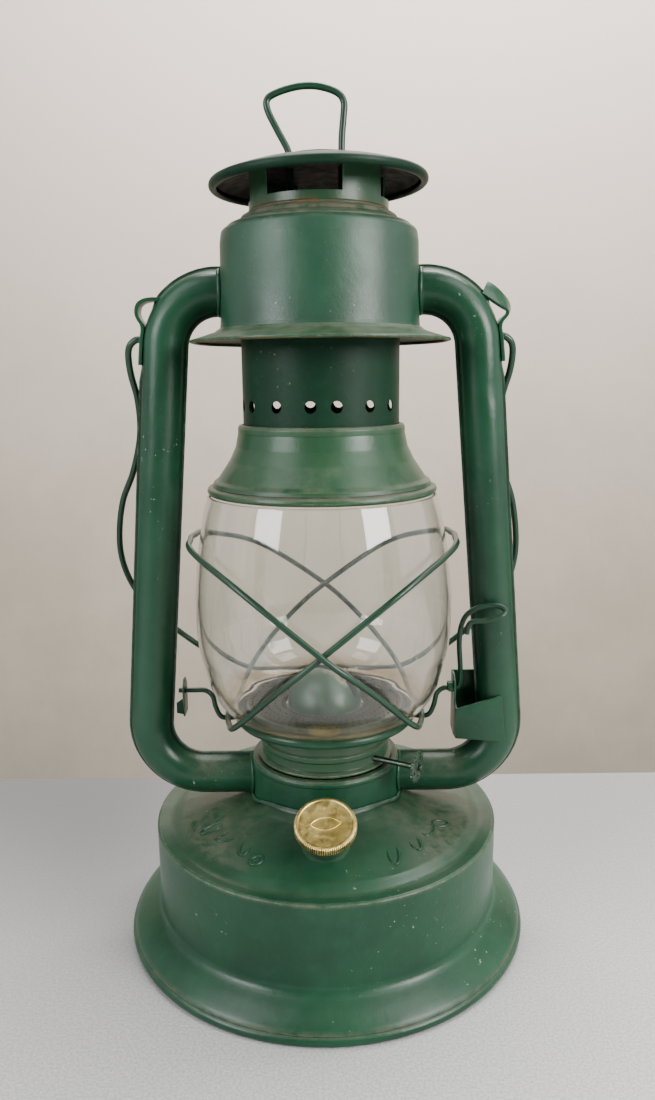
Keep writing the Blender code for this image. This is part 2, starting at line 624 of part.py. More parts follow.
def canopy():
    paint = material("canopy_paint", GREEN)
    drum = turned("canopy_drum", [
        (30.3, 325.8), (33.6, 323.4), (38.6, 320.8), (41.2, 319.4), (42.3, 316.8), (42.6, 300.0),
        (CANOPY_R, CANOPY_LOW_Z)], paint)
    duct = rod_tool("canopy_duct_cutter", DUCT_R, 100.0, at(0, 0, 294.4, about("Y", math.pi / 2)))
    boolean(drum, duct)
    turned("canopy_flange", [
        (CANOPY_R + GAP + 0.2, 279.0), (FLANGE_R - 0.6, 274.7), (FLANGE_R, 273.6), (FLANGE_R - 1.6, 273.0)],
        material("flange_paint", GREEN))

    neck = turned("neck_cup", [(NECK_CUP_R, 341.4), (NECK_CUP_R, WINDOW_SILL_Z), (NECK_CUP_R, 318.0)],
                  material("neck_cup_paint", GREEN))
    for angle, half in WINDOWS:
        window = box_tool("window_cutter", (90.0, 2 * NECK_CUP_R * math.sin(half), 20.0),
                          at(0, 0, WINDOW_SILL_Z + 10.0, about("Z", angle)))
        boolean(neck, window)
    turned("inner_chimney", [(CHIMNEY_R, 326.0), (CHIMNEY_R, 286.8)],
           material("chimney_tin", SOOT, 0.6, 0.4))
    reach = CHIMNEY_R - SHEET - GAP - 0.6
    bar = plate("guide_bar", [[(-reach, -4), (reach, -4), (reach, 4), (-reach, 4)]]
                + [circle(x, 0, LOOP_WIRE_R + 0.35, 10) for x in LOOP_LEGS_X], 1.2,
                material("guide_bar_tin", STEEL, 0.5, 0.7))
    bar.location = (0, 0, (SPRING_Z[1] + 0.9) * MM)

    tilt = about("Y", HOOD_TILT)
    hood = turned("hood", [
        (0.0, 8.2), (20.0, 7.6), (34.0, 5.6), (43.0, 2.7), *arc((HOOD_BEAD_R, 0.2), 2.0, 70, -110, 3)],
        material("hood_paint", GREEN), shell=0.7)
    hood.matrix_world = at(0, 0, HOOD_Z, tilt)
    disc = turned("hood_disc", [(0.0, 10.2), (17.6, 9.9), (19.4, 9.2), (20.0, 8.2), (18.4, 7.9 + GAP),
                                (0.0, 8.3 + GAP)],
                  material("hood_disc_paint", GREEN), shell=None)
    disc.matrix_world = at(0, 0, HOOD_Z, tilt)
    for i, x in enumerate(LOOP_LEGS_X):
        hole = rod_tool("leg_hole_cutter_%d" % i, LOOP_WIRE_R + 0.5, 30.0, at(x, 0, 345), 12)
        boolean(hood, hole)
        boolean(disc, hole)


fount()
filler()
burner()
globe_carrier()
lift_lever()
lever_brackets()
side_tubes()
ears()
bail()
crown()
canopy()
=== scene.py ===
import json
from math import acos, atan2, cos, exp, hypot, pi, radians, sin, sqrt, tan

import bmesh
import bpy
from mathutils import Matrix, Vector

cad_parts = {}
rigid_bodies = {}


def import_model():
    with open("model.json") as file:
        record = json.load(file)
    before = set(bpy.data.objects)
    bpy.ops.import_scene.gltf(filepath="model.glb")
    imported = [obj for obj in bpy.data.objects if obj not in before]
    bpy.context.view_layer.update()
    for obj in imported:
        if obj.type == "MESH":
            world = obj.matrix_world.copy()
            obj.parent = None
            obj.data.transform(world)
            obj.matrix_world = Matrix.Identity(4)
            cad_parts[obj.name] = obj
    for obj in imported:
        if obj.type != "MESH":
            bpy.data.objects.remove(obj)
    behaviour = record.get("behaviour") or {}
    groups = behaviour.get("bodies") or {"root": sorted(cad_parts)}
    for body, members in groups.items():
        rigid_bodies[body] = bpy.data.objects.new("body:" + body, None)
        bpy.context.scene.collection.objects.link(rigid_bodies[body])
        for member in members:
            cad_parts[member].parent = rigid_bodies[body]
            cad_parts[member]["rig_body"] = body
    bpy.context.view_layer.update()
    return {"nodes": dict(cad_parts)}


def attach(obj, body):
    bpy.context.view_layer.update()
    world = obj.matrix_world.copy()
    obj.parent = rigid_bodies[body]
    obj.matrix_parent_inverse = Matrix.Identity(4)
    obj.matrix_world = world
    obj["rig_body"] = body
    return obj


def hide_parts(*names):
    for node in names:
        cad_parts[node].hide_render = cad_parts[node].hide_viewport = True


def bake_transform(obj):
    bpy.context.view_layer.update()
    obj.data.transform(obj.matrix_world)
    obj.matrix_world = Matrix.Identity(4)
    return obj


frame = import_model()

# Shapes are in millimetres in the row frame and become metres where a mesh or a curve is made.
MM = 0.001
SHEET = 0.6

COLLAR_R = 35.0
COLLAR_TOP_Z = 83.1
BURNER_DOME_R = 17.5
BURNER_DOME_Z = 107.8
WICK_ANGLE = radians(-28)
WICK_SIZE = (22.0, 2.6)
SHAFT_Z = 87.7
SHAFT_OFFSET = 6.8
NECK_FOOT = (0.0, -47.0, 60.0)
NECK_LEAN = radians(25)
PLATE_BEAD_R = 40.4
PLATE_BEAD_Z = 104.1
BEAD = 2.3
DECK_R = (18.3, 36.2)
GLASS = 1.8
GUARD_WIRE_R = 1.35
LIFT_WIRE_R = 1.2
LIFT_PIVOT_Z = 114.0
CRANK_Z = 99.3
YOKE_R = 35.5
YOKE_Z = 106.3
JOURNAL_HOLE_R = 1.65
LATCH_X = 61.2
LATCH_FACE_Y = -9.7
LATCH_BACK_Y = 6.3
GUIDE_X = -66.2
SLEEVE_R = 34.5
SLEEVE_HOLE_ANGLES = (-76, -58, -32, -7, 11, 36, 58, 86, 111, 137, 166, 189, 218, 242, 262)
SLEEVE_HOLE_R = 2.5
SLEEVE_HOLE_Z = 246.7
STRAP_Z = 255.0
STRAP_HALF = (4.0, 0.6)  # half width and half thickness, also of the guide bar
LOOP_WIRE_R = 1.45
LOOP_LEGS_X = (-12.0, 9.8)
SPRING_Z = (257.0, 320.4)
SPRING_R = 2.7
SPRING_WIRE_R = 0.45
CANOPY_R = 43.1
NECK_CUP_R = 29.6
WINDOW_SILL_Z = 330.4
WINDOWS = ((radians(77.5), radians(31.4)), (radians(-7.5), radians(24)))
CHIMNEY_R = 28.6
HOOD_Z = 338.0
HOOD_TILT = radians(-1.4)
TUBE_R = 9.1
TUBE_FIN = 10.5
RIGHT_OUT = 1.0
TUBE_LINE = {-1: (69.3, radians(4.8)), 1: (69.3 + RIGHT_OUT, radians(4.5))}
TUBE_LINE_Z = 258.0
TUBE_TOP_Z = 295.2
TUBE_TOP_BEND = 24.0
TUBE_LOW_Z = 72.3
TUBE_LOW_BEND = 25.0
DUCT_TOP_Z = 294.6
SOLDER_R = 1.05
EAR_Z = (262.0, 285.0)
BAIL_WIRE_R = 1.5
BAIL_PIVOT_Z = 275.5
BAIL_END_X = 77.4
BAIL_LEAN = radians(17.6)
BAIL_SKEW = 2.7
BAIL_DROP = 180.0

# Bends from which an edge counts as worn or as a corner that gets painted shade, in radians per millimetre.
WEAR_BEND = 0.8
CREASE_SHADE_BEND = 0.25
BEND_SPAN = 0.6

FLOOR_BACK_Y = 0.1395
WALL_Y = 2.4
CAMERA_LENS = 27.84
CAMERA_PLACE = (0.0021, -0.3819, 0.2590)
CAMERA_TILT = radians(78.46)
CAMERA_ROLL = radians(-0.63)


# ---- shader helpers

class Shader:
    """A material's node tree, built by short calls."""

    def __init__(self, name):
        self.material = bpy.data.materials.new(name)
        self.material.use_nodes = True
        self.tree = self.material.node_tree
        self.surface = self.tree.nodes["Principled BSDF"]
        self.coords = self.tree.nodes.new("ShaderNodeTexCoord").outputs

    def put(self, socket, value):
        if isinstance(value, bpy.types.NodeSocket):
            self.tree.links.new(value, socket)
        elif isinstance(value, tuple) and socket.type == "RGBA":
            socket.default_value = (*value, 1.0)
        else:
            socket.default_value = value

    def set(self, **values):
        for name, value in values.items():
            self.put(self.surface.inputs[name.replace("_", " ").title().replace("Ior", "IOR")], value)

    def node(self, kind, **inputs):
        made = self.tree.nodes.new("ShaderNode" + kind)
        for name, value in inputs.items():
            self.put(made.inputs[name.replace("_", " ").title()], value)
        return made

    def noise(self, scale, detail=4.0, rough=0.55, distortion=0.0, stretch=None):
        place = self.coords["Object"]
        if stretch:
            place = self.node("Mapping", vector=place, scale=stretch).outputs["Vector"]
        return self.node("TexNoise", scale=scale, detail=detail, roughness=rough, distortion=distortion,
                         vector=place).outputs["Fac"]

    def axis(self, output, letter):
        return self.node("SeparateXYZ", vector=self.coords[output]).outputs[letter]

    def attribute(self, name):
        made = self.node("Attribute")
        made.attribute_name = name
        return made.outputs["Fac"]

    def between(self, value, low, high, start=0.0, end=1.0):
        """value from low to high becomes start to end, smoothly, and stays there outside."""
        made = self.node("MapRange", value=value, from_min=low, from_max=high, to_min=start, to_max=end)
        made.interpolation_type = "SMOOTHSTEP"
        return made.outputs["Result"]

    def math(self, operation, a, b=0.0):
        made = self.node("Math")
        made.operation = operation
        self.put(made.inputs[0], a)
        self.put(made.inputs[1], b)
        return made.outputs["Value"]

    def times(self, *factors):
        product = factors[0]
        for factor in factors[1:]:
            product = self.math("MULTIPLY", product, factor)
        return product

    def mix(self, factor, a, b):
        made = self.node("Mix")
        made.data_type = "RGBA"
        for index, value in ((0, factor), (6, a), (7, b)):
            self.put(made.inputs[index], value)
        return made.outputs[2]

    def bump(self, *layers):
        """Each layer is (height, strength, distance in millimetres)."""
        normal = None
        for height, strength, distance in layers:
            made = self.node("Bump", height=height, strength=strength, distance=distance * MM)
            if normal:
                self.put(made.inputs["Normal"], normal)
            normal = made.outputs["Normal"]
        self.put(self.surface.inputs["Normal"], normal)


# ---- materials

DUST = (0.125, 0.145, 0.100)
DIRT = (0.150, 0.125, 0.082)
RUST = (0.150, 0.058, 0.020)
CORNER_SHADE = (0.0045, 0.0100, 0.0060)
WORN_PAINT = (0.10, 0.17, 0.115)
CHIP = (0.42, 0.45, 0.35)
SCUFF = (0.25, 0.30, 0.22)


def paint(name, dust=0.05, grime=1.0, chips=1.0, tint=0.0, depth=1.0, gloss=0.33, smooth=0.27,
          soil=DIRT):
    """Satin green enamel: orange peel, dust on what faces up, dirt where placed, painted shade in concave
    corners, worn edges. tint browns it, depth lightens it, gloss is its specular level and smooth its
    lowest roughness."""
    s = Shader(name)
    deep = (0.0048 * depth, 0.035 * depth, 0.0160 * depth)
    green = (0.0082 * depth, 0.053 * depth, 0.0240 * depth)
    colour = s.mix(s.between(s.noise(22, 5), 0.35, 0.68), deep, green)
    if tint:
        colour = s.mix(tint, colour, (0.046, 0.088, 0.036))
    colour = s.mix(s.between(s.noise(170, 6, 0.65), 0.45, 0.75, 0.0, 0.22 * depth), colour,
                   (0.020, 0.076, 0.040))

    up = s.between(s.axis("Normal", "Z"), 0.25, 0.95)
    settled = s.times(up, s.between(s.noise(75, 8, 0.7), 0.32, 0.66), dust)
    colour = s.mix(settled, colour, DUST)

    dirt = s.times(s.attribute("grime"), s.between(s.noise(160, 10, 0.8), 0.36, 0.60), grime)
    colour = s.mix(dirt, colour, soil)
    rust = s.times(s.attribute("rust"), s.between(s.noise(130, 8, 0.7), 0.36, 0.60))
    colour = s.mix(rust, colour, RUST)
    # Near black in concave corners: painted shade.
    corner = s.times(s.attribute("crease_shade"), s.between(s.noise(90, 6), 0.25, 0.5))
    colour = s.mix(s.times(corner, 0.85), colour, CORNER_SHADE)

    worn = s.times(s.attribute("wear"), s.between(s.noise(240, 6, 0.7), 0.42, 0.64))
    colour = s.mix(s.times(worn, 0.55), colour, WORN_PAINT)

    sparse = s.between(s.noise(18, 3), 0.53, 0.68)
    speck = s.times(s.between(s.noise(520, 3, 0.6), 0.69, 0.715), sparse, chips)
    colour = s.mix(s.times(speck, 0.75), colour, CHIP)
    scuff = s.times(s.between(s.noise(260, 2, 0.5, 0.0, (1.0, 1.0, 0.16)), 0.73, 0.80), sparse, chips)
    colour = s.mix(s.times(scuff, 0.35), colour, SCUFF)

    rough = s.between(s.noise(45, 2), 0.3, 0.7, smooth + 0.02, smooth + 0.09)
    for mask, amount in ((settled, 0.28), (dirt, 0.38), (rust, 0.40)):
        rough = s.math("ADD", rough, s.times(mask, amount))
    s.set(base_color=colour, roughness=rough, ior=1.5)
    s.surface.inputs["Specular IOR Level"].default_value = gloss
    s.bump((s.noise(1250, 3), 0.42, 0.09), (s.noise(400, 2), 0.34, 0.20), (s.noise(110, 3), 0.14, 0.5),
           (dirt, 0.35, 0.12))
    return s.material


def bare_metal(name, light, dark, low=0.30, high=0.55, stain=(0.11, 0.055, 0.025), stained=0.5,
               shine=1.0, gloss=0.5):
    """Old metal without paint: brushed, clouded, with rust or tarnish in patches."""
    s = Shader(name)
    colour = s.mix(s.between(s.noise(60, 7, 0.65), 0.32, 0.68), dark, light)
    patch = s.times(s.between(s.noise(150, 8, 0.72), 0.50, 0.68), stained)
    colour = s.mix(patch, colour, stain)
    soil = s.times(s.attribute("grime"), s.between(s.noise(110, 8, 0.7), 0.3, 0.6))
    colour = s.mix(soil, colour, (0.10, 0.075, 0.045))
    rough = s.between(s.noise(210, 4), 0.3, 0.7, low, high)
    s.set(base_color=colour, roughness=s.math("ADD", rough, s.times(patch, 0.3)),
          metallic=s.between(s.math("ADD", patch, soil), 0.1, 0.7, shine, 0.15 * shine))
    s.surface.inputs["Specular IOR Level"].default_value = gloss
    s.bump((s.noise(1200, 2, 0.5, 0.0, (1.0, 1.0, 0.12)), 0.10, 0.06), (s.noise(300, 5), 0.12, 0.10))
    return s.material


def brass(name):
    s = Shader(name)
    colour = s.mix(s.between(s.noise(120, 8, 0.7), 0.36, 0.66), (0.62, 0.455, 0.135), (0.95, 0.755, 0.28))
    spots = s.between(s.noise(620, 4, 0.7), 0.58, 0.70)
    colour = s.mix(s.times(spots, 0.6), colour, (0.24, 0.17, 0.07))
    bright = s.times(s.attribute("wear"), s.between(s.noise(500, 3), 0.35, 0.6))
    colour = s.mix(bright, colour, (0.92, 0.72, 0.34))
    soil = s.times(s.attribute("grime"), s.between(s.noise(300, 6), 0.4, 0.62))
    colour = s.mix(s.times(soil, 0.8), colour, (0.06, 0.042, 0.02))
    rough = s.between(s.noise(350, 5), 0.3, 0.7, 0.34, 0.54)
    # Darker brown in concave corners: painted shade.
    colour = s.mix(s.times(s.attribute("crease_shade"), 0.8), colour, (0.10, 0.065, 0.022))
    s.set(base_color=colour, roughness=s.math("ADD", rough, s.times(spots, 0.25)), metallic=1.0)
    s.bump((s.noise(1500, 3), 0.16, 0.05), (s.noise(500, 4), 0.10, 0.08))
    return s.material


def glass(name):
    """Clear glass with a thin uneven veil of dust and a few small seeds."""
    s = Shader(name)
    streak = s.between(s.noise(55, 6, 0.6, 0.0, (1.0, 1.0, 0.35)), 0.40, 0.72, 0.0, 0.02)
    foot = s.between(s.axis("Object", "Z"), 0.117, 0.107)
    fine = s.between(s.noise(800, 3), 0.64, 0.74, 0.0, 0.08)
    veil = s.math("ADD", s.math("ADD", streak, s.times(foot, 0.08)), s.math("ADD", fine, 0.006))
    s.set(base_color=s.mix(foot, (0.93, 0.94, 0.91), (0.60, 0.45, 0.26)), roughness=0.02, ior=1.46,
          transmission_weight=s.math("SUBTRACT", 1.0, veil))
    s.bump((s.noise(28, 2), 0.10, 0.25))
    return s.material


def cotton(name):
    """Flat woven wick: warp ribs crossed by picks, charred towards the top."""
    s = Shader(name)
    warp = s.math("SINE", s.times(s.axis("Object", "X"), 5200.0))
    pick = s.math("SINE", s.times(s.axis("Object", "Z"), 4200.0))
    weave = s.between(s.times(warp, pick), -1.0, 1.0)
    colour = s.mix(weave, (0.30, 0.26, 0.19), (0.62, 0.57, 0.46))
    colour = s.mix(s.between(s.noise(400, 5), 0.4, 0.7, 0.0, 0.5), colour, (0.42, 0.35, 0.24))
    char = s.between(s.math("ADD", s.axis("Object", "Z"), s.times(s.noise(500, 3), 0.004)), 0.1200, 0.1235)
    s.set(base_color=s.mix(char, colour, (0.030, 0.022, 0.016)), roughness=0.95)
    s.bump((weave, 0.6, 0.25))
    return s.material


def cork(name):
    s = Shader(name)
    cells = s.node("TexVoronoi", scale=900, vector=s.coords["Object"])
    grains = s.between(cells.outputs["Distance"], 0.1, 0.5)
    s.set(base_color=s.mix(grains, (0.10, 0.055, 0.028), (0.33, 0.21, 0.12)), roughness=0.9)
    s.bump((grains, 0.5, 0.15))
    return s.material


def table_grey(name):
    """Speckled grey table with painted shade: darker towards the back, and darker still at the back left.
    """
    s = Shader(name)
    speckled = s.mix(s.between(s.noise(900, 6, 0.7), 0.38, 0.62), (0.39, 0.39, 0.38), (0.57, 0.57, 0.56))
    # Painted shade: darker towards the back, and a painted shadow at the back left.
    away = s.between(s.axis("Object", "Y"), -0.25, 0.15)
    colour = s.mix(s.times(away, 0.75), speckled, (0.20, 0.20, 0.195))
    left_shade = s.between(s.axis("Object", "X"), 0.05, -0.15)
    s.set(base_color=s.mix(s.times(away, left_shade, 0.8), colour, (0.10, 0.10, 0.098)), roughness=0.8)
    return s.material


def wall_paint(name):
    """Pale backdrop with painted light: lighter towards its top."""
    s = Shader(name)
    low = s.mix(s.between(s.noise(2.5, 8, 0.7), 0.35, 0.65), (0.60, 0.517, 0.412), (0.67, 0.585, 0.472))
    # Painted light: the colour lightens from low to high on the wall.
    s.set(base_color=s.mix(s.between(s.axis("Object", "Z"), -0.7, 1.6), low, (0.81, 0.70, 0.625)),
          roughness=0.9)
    return s.material


GREEN = paint("green_paint")
GREEN_WIRE = paint("green_wire_paint", chips=0.6, depth=0.7, gloss=0.4)
GREEN_DUSTY = paint("green_paint_dusty", dust=0.55, tint=0.25)
# A darker copy of the green paint for painted shade: the sleeve under the canopy flange, the hood top and
# the guide web.
GREEN_SHADED = paint("green_paint_shaded", chips=0.5, depth=0.50, gloss=0.16, smooth=0.40)
GREEN_TOP = paint("green_paint_disc", dust=0.12, chips=0.5, depth=0.8, gloss=0.04, smooth=0.55)
GREEN_SATIN = paint("green_paint_satin", dust=0.25, gloss=0.5, smooth=0.38)
GREEN_SOILED = paint("green_paint_soiled", dust=0.2, tint=0.12)
TIN = bare_metal("tinplate", (0.34, 0.33, 0.31), (0.17, 0.16, 0.15))
SOOTY = bare_metal("sooty_tin", (0.020, 0.018, 0.015), (0.008, 0.007, 0.006), 0.6, 0.85,
                   (0.030, 0.016, 0.008), 0.5, 0.0)
DECK = bare_metal("deck_metal", (0.026, 0.030, 0.014), (0.009, 0.012, 0.006), 0.55, 0.75,
                  (0.050, 0.030, 0.012), 0.6, 0.10, 0.15)
DOME = paint("dome_paint", dust=0.10, tint=0.10, chips=0.3, depth=1.3, gloss=0.5, soil=(0.46, 0.37, 0.23))
SPRING = bare_metal("spring_steel", (0.40, 0.39, 0.37), (0.20, 0.19, 0.18), 0.25, 0.45)
STEEL = bare_metal("wheel_steel", (0.10, 0.145, 0.105), (0.040, 0.060, 0.045), 0.30, 0.5)
BRASS = brass("aged_brass")
GLASS_LOOK = glass("globe_glass")
WICK = cotton("wick_cotton")
CORK = cork("cork")


# ---- shape helpers

def arc(centre, radius, start, end, steps):
    """Points of an arc from start to end in degrees."""
    angles = [radians(start + (end - start) * i / steps) for i in range(steps + 1)]
    return [(centre[0] + radius * cos(a), centre[1] + radius * sin(a)) for a in angles]


def rounded(points, steps=4, closed=False):
    """The outline with each corner that has a third number rounded to that radius."""
    out = []
    count = len(points)
    for i, point in enumerate(points):
        here = Vector(point[:2])
        inner = closed or 0 < i < count - 1
        if len(point) < 3 or not inner:
            out.append(tuple(here))
            continue
        back = Vector(points[i - 1][:2]) - here
        ahead = Vector(points[(i + 1) % count][:2]) - here
        half = back.angle(ahead) / 2
        if half > 1.54:
            out.append(tuple(here))
            continue
        cut = min(point[2] / tan(half), back.length * 0.48, ahead.length * 0.48)
        back.normalize()
        ahead.normalize()
        centre = here + (back + ahead).normalized() * cut / cos(half)
        first = here + back * cut - centre
        last = here + ahead * cut - centre
        begin = atan2(first.y, first.x)
        sweep = (atan2(last.y, last.x) - begin + pi) % (2 * pi) - pi
        for k in range(steps + 1):
            a = begin + sweep * k / steps
            out.append((centre.x + first.length * cos(a), centre.y + first.length * sin(a)))
    return out


def smooth_path(points, per_span, cyclic=False):
    """A smooth curve through the points, as Catmull-Rom spans of per_span steps."""
    pts = [Vector(p) for p in points]
    count = len(pts)
    ends = pts if cyclic else [2 * pts[0] - pts[1]] + pts + [2 * pts[-1] - pts[-2]]
    out = []
    for i in range(count if cyclic else count - 1):
        a, b, c, d = [ends[(i + k - 1) % count] for k in range(4)] if cyclic else ends[i:i + 4]
        for k in range(per_span):
            t = k / per_span
            out.append(0.5 * (2 * b + (c - a) * t + (2 * a - 5 * b + 4 * c - d) * t ** 2
                              + (3 * b - a - 3 * c + d) * t ** 3))
    if not cyclic:
        out.append(pts[-1])
    return out


def about(axis, angle):
    return Matrix.Rotation(angle, 3, axis)


def at(x, y, z, turn=None):
    """Placement in millimetres."""
    place = Matrix.Translation(Vector((x, y, z)))
    return place @ turn.to_4x4() if turn else place


def neck_place():
    return at(*NECK_FOOT, about("X", NECK_LEAN))


def mark_surface(mesh, grime, rust, edges):
    """Attributes that the materials read: wear on convex edges, a mask of concave corners for painted
    shade, and grime and rust where the two functions of the place say."""
    body = bmesh.new()
    body.from_mesh(mesh)
    count = len(body.verts)
    wear = [0.0] * count
    crease_shade = [0.0] * count
    for edge in body.edges:
        if not edges or len(edge.link_faces) != 2:
            continue
        length = max(edge.calc_length(), 1e-7)
        width = sum(face.calc_area() for face in edge.link_faces) / length / 2
        bend = edge.calc_face_angle_signed(0.0) / max(width / MM, 0.05)
        target, start = (wear, WEAR_BEND) if bend > 0 else (crease_shade, CREASE_SHADE_BEND)
        sharp = min(1.0, max(0.0, (abs(bend) - start) / BEND_SPAN))
        for vert in edge.verts:
            target[vert.index] = max(target[vert.index], sharp)
    spots = [vert.co / MM for vert in body.verts]
    body.free()
    layers = {"wear": wear, "crease_shade": crease_shade, "grime": [grime(p) for p in spots] if grime else None,
              "rust": [rust(p) for p in spots] if rust else None}
    for name, values in layers.items():
        if values:
            mesh.attributes.new(name, "FLOAT", "POINT").data.foreach_set("value", values)


def in_scene(name, data):
    made = bpy.data.objects.new(name, data)
    bpy.context.scene.collection.objects.link(made)
    return made


def mesh_object(name, shape, place=None):
    """An object in metres from a shape in millimetres."""
    mesh = bpy.data.meshes.new(name)
    shape.to_mesh(mesh)
    shape.free()
    if place:
        mesh.transform(place)
    mesh.transform(Matrix.Scale(MM, 4))
    return in_scene(name, mesh)


def piece(name, shape, finish, replaces=(), body="frame", place=None, sheet=0.0,
          bevel=0.0, cutters=(), grime=None, rust=None, sharp=38, edges=True):
    """Turns a shape in millimetres into a finished piece that rides on a body."""
    made = mesh_object(name, shape, place)
    if sheet:
        skin = made.modifiers.new("sheet", "SOLIDIFY")
        skin.thickness = sheet * MM
        skin.offset = -1.0
        skin.use_even_offset = True
    for cutter in cutters:
        cut = made.modifiers.new("cut", "BOOLEAN")
        cut.object = cutter
        cut.solver = "EXACT"
    if bevel:
        edge = made.modifiers.new("edge", "BEVEL")
        edge.width = bevel * MM
        edge.segments = 2
        edge.limit_method = "ANGLE"
        edge.angle_limit = radians(30)
    final = bpy.data.meshes.new_from_object(made.evaluated_get(bpy.context.evaluated_depsgraph_get()))
    made.modifiers.clear()
    made.data = final
    final.name = name
    final.materials.clear()
    final.materials.append(finish)
    final.polygons.foreach_set("use_smooth", [True] * len(final.polygons))
    final.set_sharp_from_angle(angle=radians(sharp))
    mark_surface(final, grime, rust, edges)
    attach(made, body)
    if replaces:
        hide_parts(*replaces)
    return made


def lathe(profile, steps, shape=None):
    """A profile of (radius, z) points turned about Z, run down its outer side."""
    body = bmesh.new()
    rings = []
    for radius, z in profile:
        if radius < 1e-6:
            rings.append([body.verts.new((0, 0, z))] * steps)
            continue
        turns = [2 * pi * j / steps for j in range(steps)]
        rings.append([body.verts.new((radius * cos(a), radius * sin(a), z)) for a in turns])
    for upper, lower in zip(rings, rings[1:]):
        for j in range(steps):
            k = (j + 1) % steps
            corners = list(dict.fromkeys([upper[j], lower[j], lower[k], upper[k]]))
            if len(corners) > 2:
                body.faces.new(corners)
    if shape:
        for vert in body.verts:
            vert.co = shape(vert.co)
    return body


def prism(outline, low, high):
    """A flat outline in XY filled and extruded from low to high."""
    body = bmesh.new()
    floor = [body.verts.new((x, y, low)) for x, y in outline]
    roof = [body.verts.new((x, y, high)) for x, y in outline]
    body.faces.new(floor[::-1])
    body.faces.new(roof)
    for i in range(len(outline)):
        k = (i + 1) % len(outline)
        body.faces.new([floor[i], floor[k], roof[k], roof[i]])
    bmesh.ops.recalc_face_normals(body, faces=body.faces)
    return body


def rods(radius, length, places, segments=24):
    """Round bars along Z in one body, one at each place."""
    body = bmesh.new()
    for place in places:
        bmesh.ops.create_cone(body, cap_ends=True, segments=segments, radius1=radius, radius2=radius,
                              depth=length, matrix=place)
    return body


def cross_hole(name, radius, x, z):
    """Cuts a round hole along X."""
    return cutter(name, rods(radius, 6, [at(x, 0, z, about("Y", pi / 2))], 32))


def cutter(name, shape):
    """A hidden shape that pieces are cut with."""
    made = mesh_object(name, shape)
    made.hide_render = True
    CUTTERS.append(made)
    return made


CUTTERS = []


def wire(name, points, radius, finish, replaces=(), body="frame", cyclic=False, sides=4):
    """A round wire through the points, as a mesh."""
    data = bpy.data.curves.new(name, "CURVE")
    data.dimensions = "3D"
    data.bevel_depth = radius
    data.bevel_resolution = sides
    data.use_fill_caps = not cyclic
    spline = data.splines.new("POLY")
    spline.points.add(len(points) - 1)
    for knot, point in zip(spline.points, points):
        knot.co = (*point, 1.0)
    spline.use_cyclic_u = cyclic
    made = in_scene(name, data)
    mesh = bpy.data.meshes.new_from_object(made.evaluated_get(bpy.context.evaluated_depsgraph_get()))
    bpy.data.objects.remove(made, do_unlink=True)
    tube = bmesh.new()
    tube.from_mesh(mesh)
    bmesh.ops.remove_doubles(tube, verts=tube.verts, dist=0.001)
    bmesh.ops.recalc_face_normals(tube, faces=tube.faces)
    return piece(name, tube, finish, replaces, body, sharp=60, edges=False)


def near(value, centre, width):
    """1 at centre, falling to 0 at width from it."""
    return max(0.0, 1.0 - abs(value - centre) / width)


def step(value, low, high):
    t = min(1.0, max(0.0, (value - low) / (high - low)))
    return t * t * (3 - 2 * t)


# ---- fount and filler

def dome_lift(p):
    """The fount's top rises to the collar in front and behind, and dips under the side tubes."""
    radius = hypot(p.x, p.y)
    rise = 5.0 * step(50.0 - radius, 0.0, 14.0) * step(abs(p.y), 8.0, 30.0)
    return Vector((p.x, p.y, p.z + rise))


def fount():
    profile = rounded([
        (35.5, 64.6), (36.1, 62.7, 1.4), (40.0, 61.4, 2.0), (58.0, 58.0, 40.0), (69.0, 55.8, 8.0),
        (74.0, 53.2, 6.0), (79.6, 54.2, 0.8), (80.7, 53.6, 0.8), (80.69, 52.0), (80.6, 30.0)], 5)
    profile += arc((86.4, 17.8), 5.8, 180, 238, 8)
    profile += [(85.0, 11.95), (86.6, 10.95), (89.6, 8.9), (91.8, 6.9), (93.1, 5.3), (93.2, 4.95),
                (92.9, 4.75), (93.3, 4.5)]
    profile += arc((92.1, 2.4), 2.4, 50, -90, 8) + [(90.0, 0.0)] + arc((90.0, 1.4), 1.4, 260, 180, 4)

    def soil(p):
        radius = hypot(p.x, p.y)
        top = 0.15 * near(radius, 40, 8) + 0.10 * near(radius, 74, 3) if p.z > 53 else 0.0
        sides = 0.42 * step(abs(p.x), 30, 52) * step(p.z, 54.0, 57.0)
        foot = 0.35 * near(p.z, 5.0, 1.2)
        shoulder = 0.35 * near(radius, 80.6, 1.0) * (p.z > 52.9)
        return top + sides + foot + shoulder

    piece("fount", lathe(profile, 192, dome_lift), GREEN, ["fount_shell"], sheet=SHEET, grime=soil)
    for i, (angle, radius, length, turn) in enumerate(
            ((-62, 58, 12.0, 25), (-50, 56, 12.0, 5), (-38, 57, 9.0, 70), (-29, 61, 6.0, 40),
             (30, 58, 13.0, 95), (43, 57, 10.0, -70), (55, 56, 9.0, 60), (64, 58, 8.0, 20))):
        emboss(i, radians(angle - 90), radius, length, radians(turn))
    piece("fount_pan",
          lathe([(0.0, 4.2), (69.0, 4.2), (70.5, 4.6), (76.4, 7.8), (79.6, 8.2), (79.6, 7.2), (76.8, 6.8),
                 (70.8, 3.6), (69.2, 3.2), (0.0, 3.2)], 96), TIN, ["fount_bottom"], grime=lambda p: 0.35)


def emboss(index, angle, radius, length, turn):
    """A plain raised lozenge on the fount's top."""
    outline = []
    for k in range(20):
        a = 2 * pi * k / 20
        u, v = length / 2 * cos(a), 2.3 * sin(a)
        x = radius * cos(angle) + u * cos(turn) - v * sin(turn)
        y = radius * sin(angle) + u * sin(turn) + v * cos(turn)
        low = 55.9 + (70.5 - hypot(x, y)) * 0.175
        outline.append(dome_lift(Vector((x, y, low))) - Vector((0, 0, 0.25)))
    wire("fount_mark_%d" % index, outline, 0.75, GREEN, cyclic=True, sides=2)


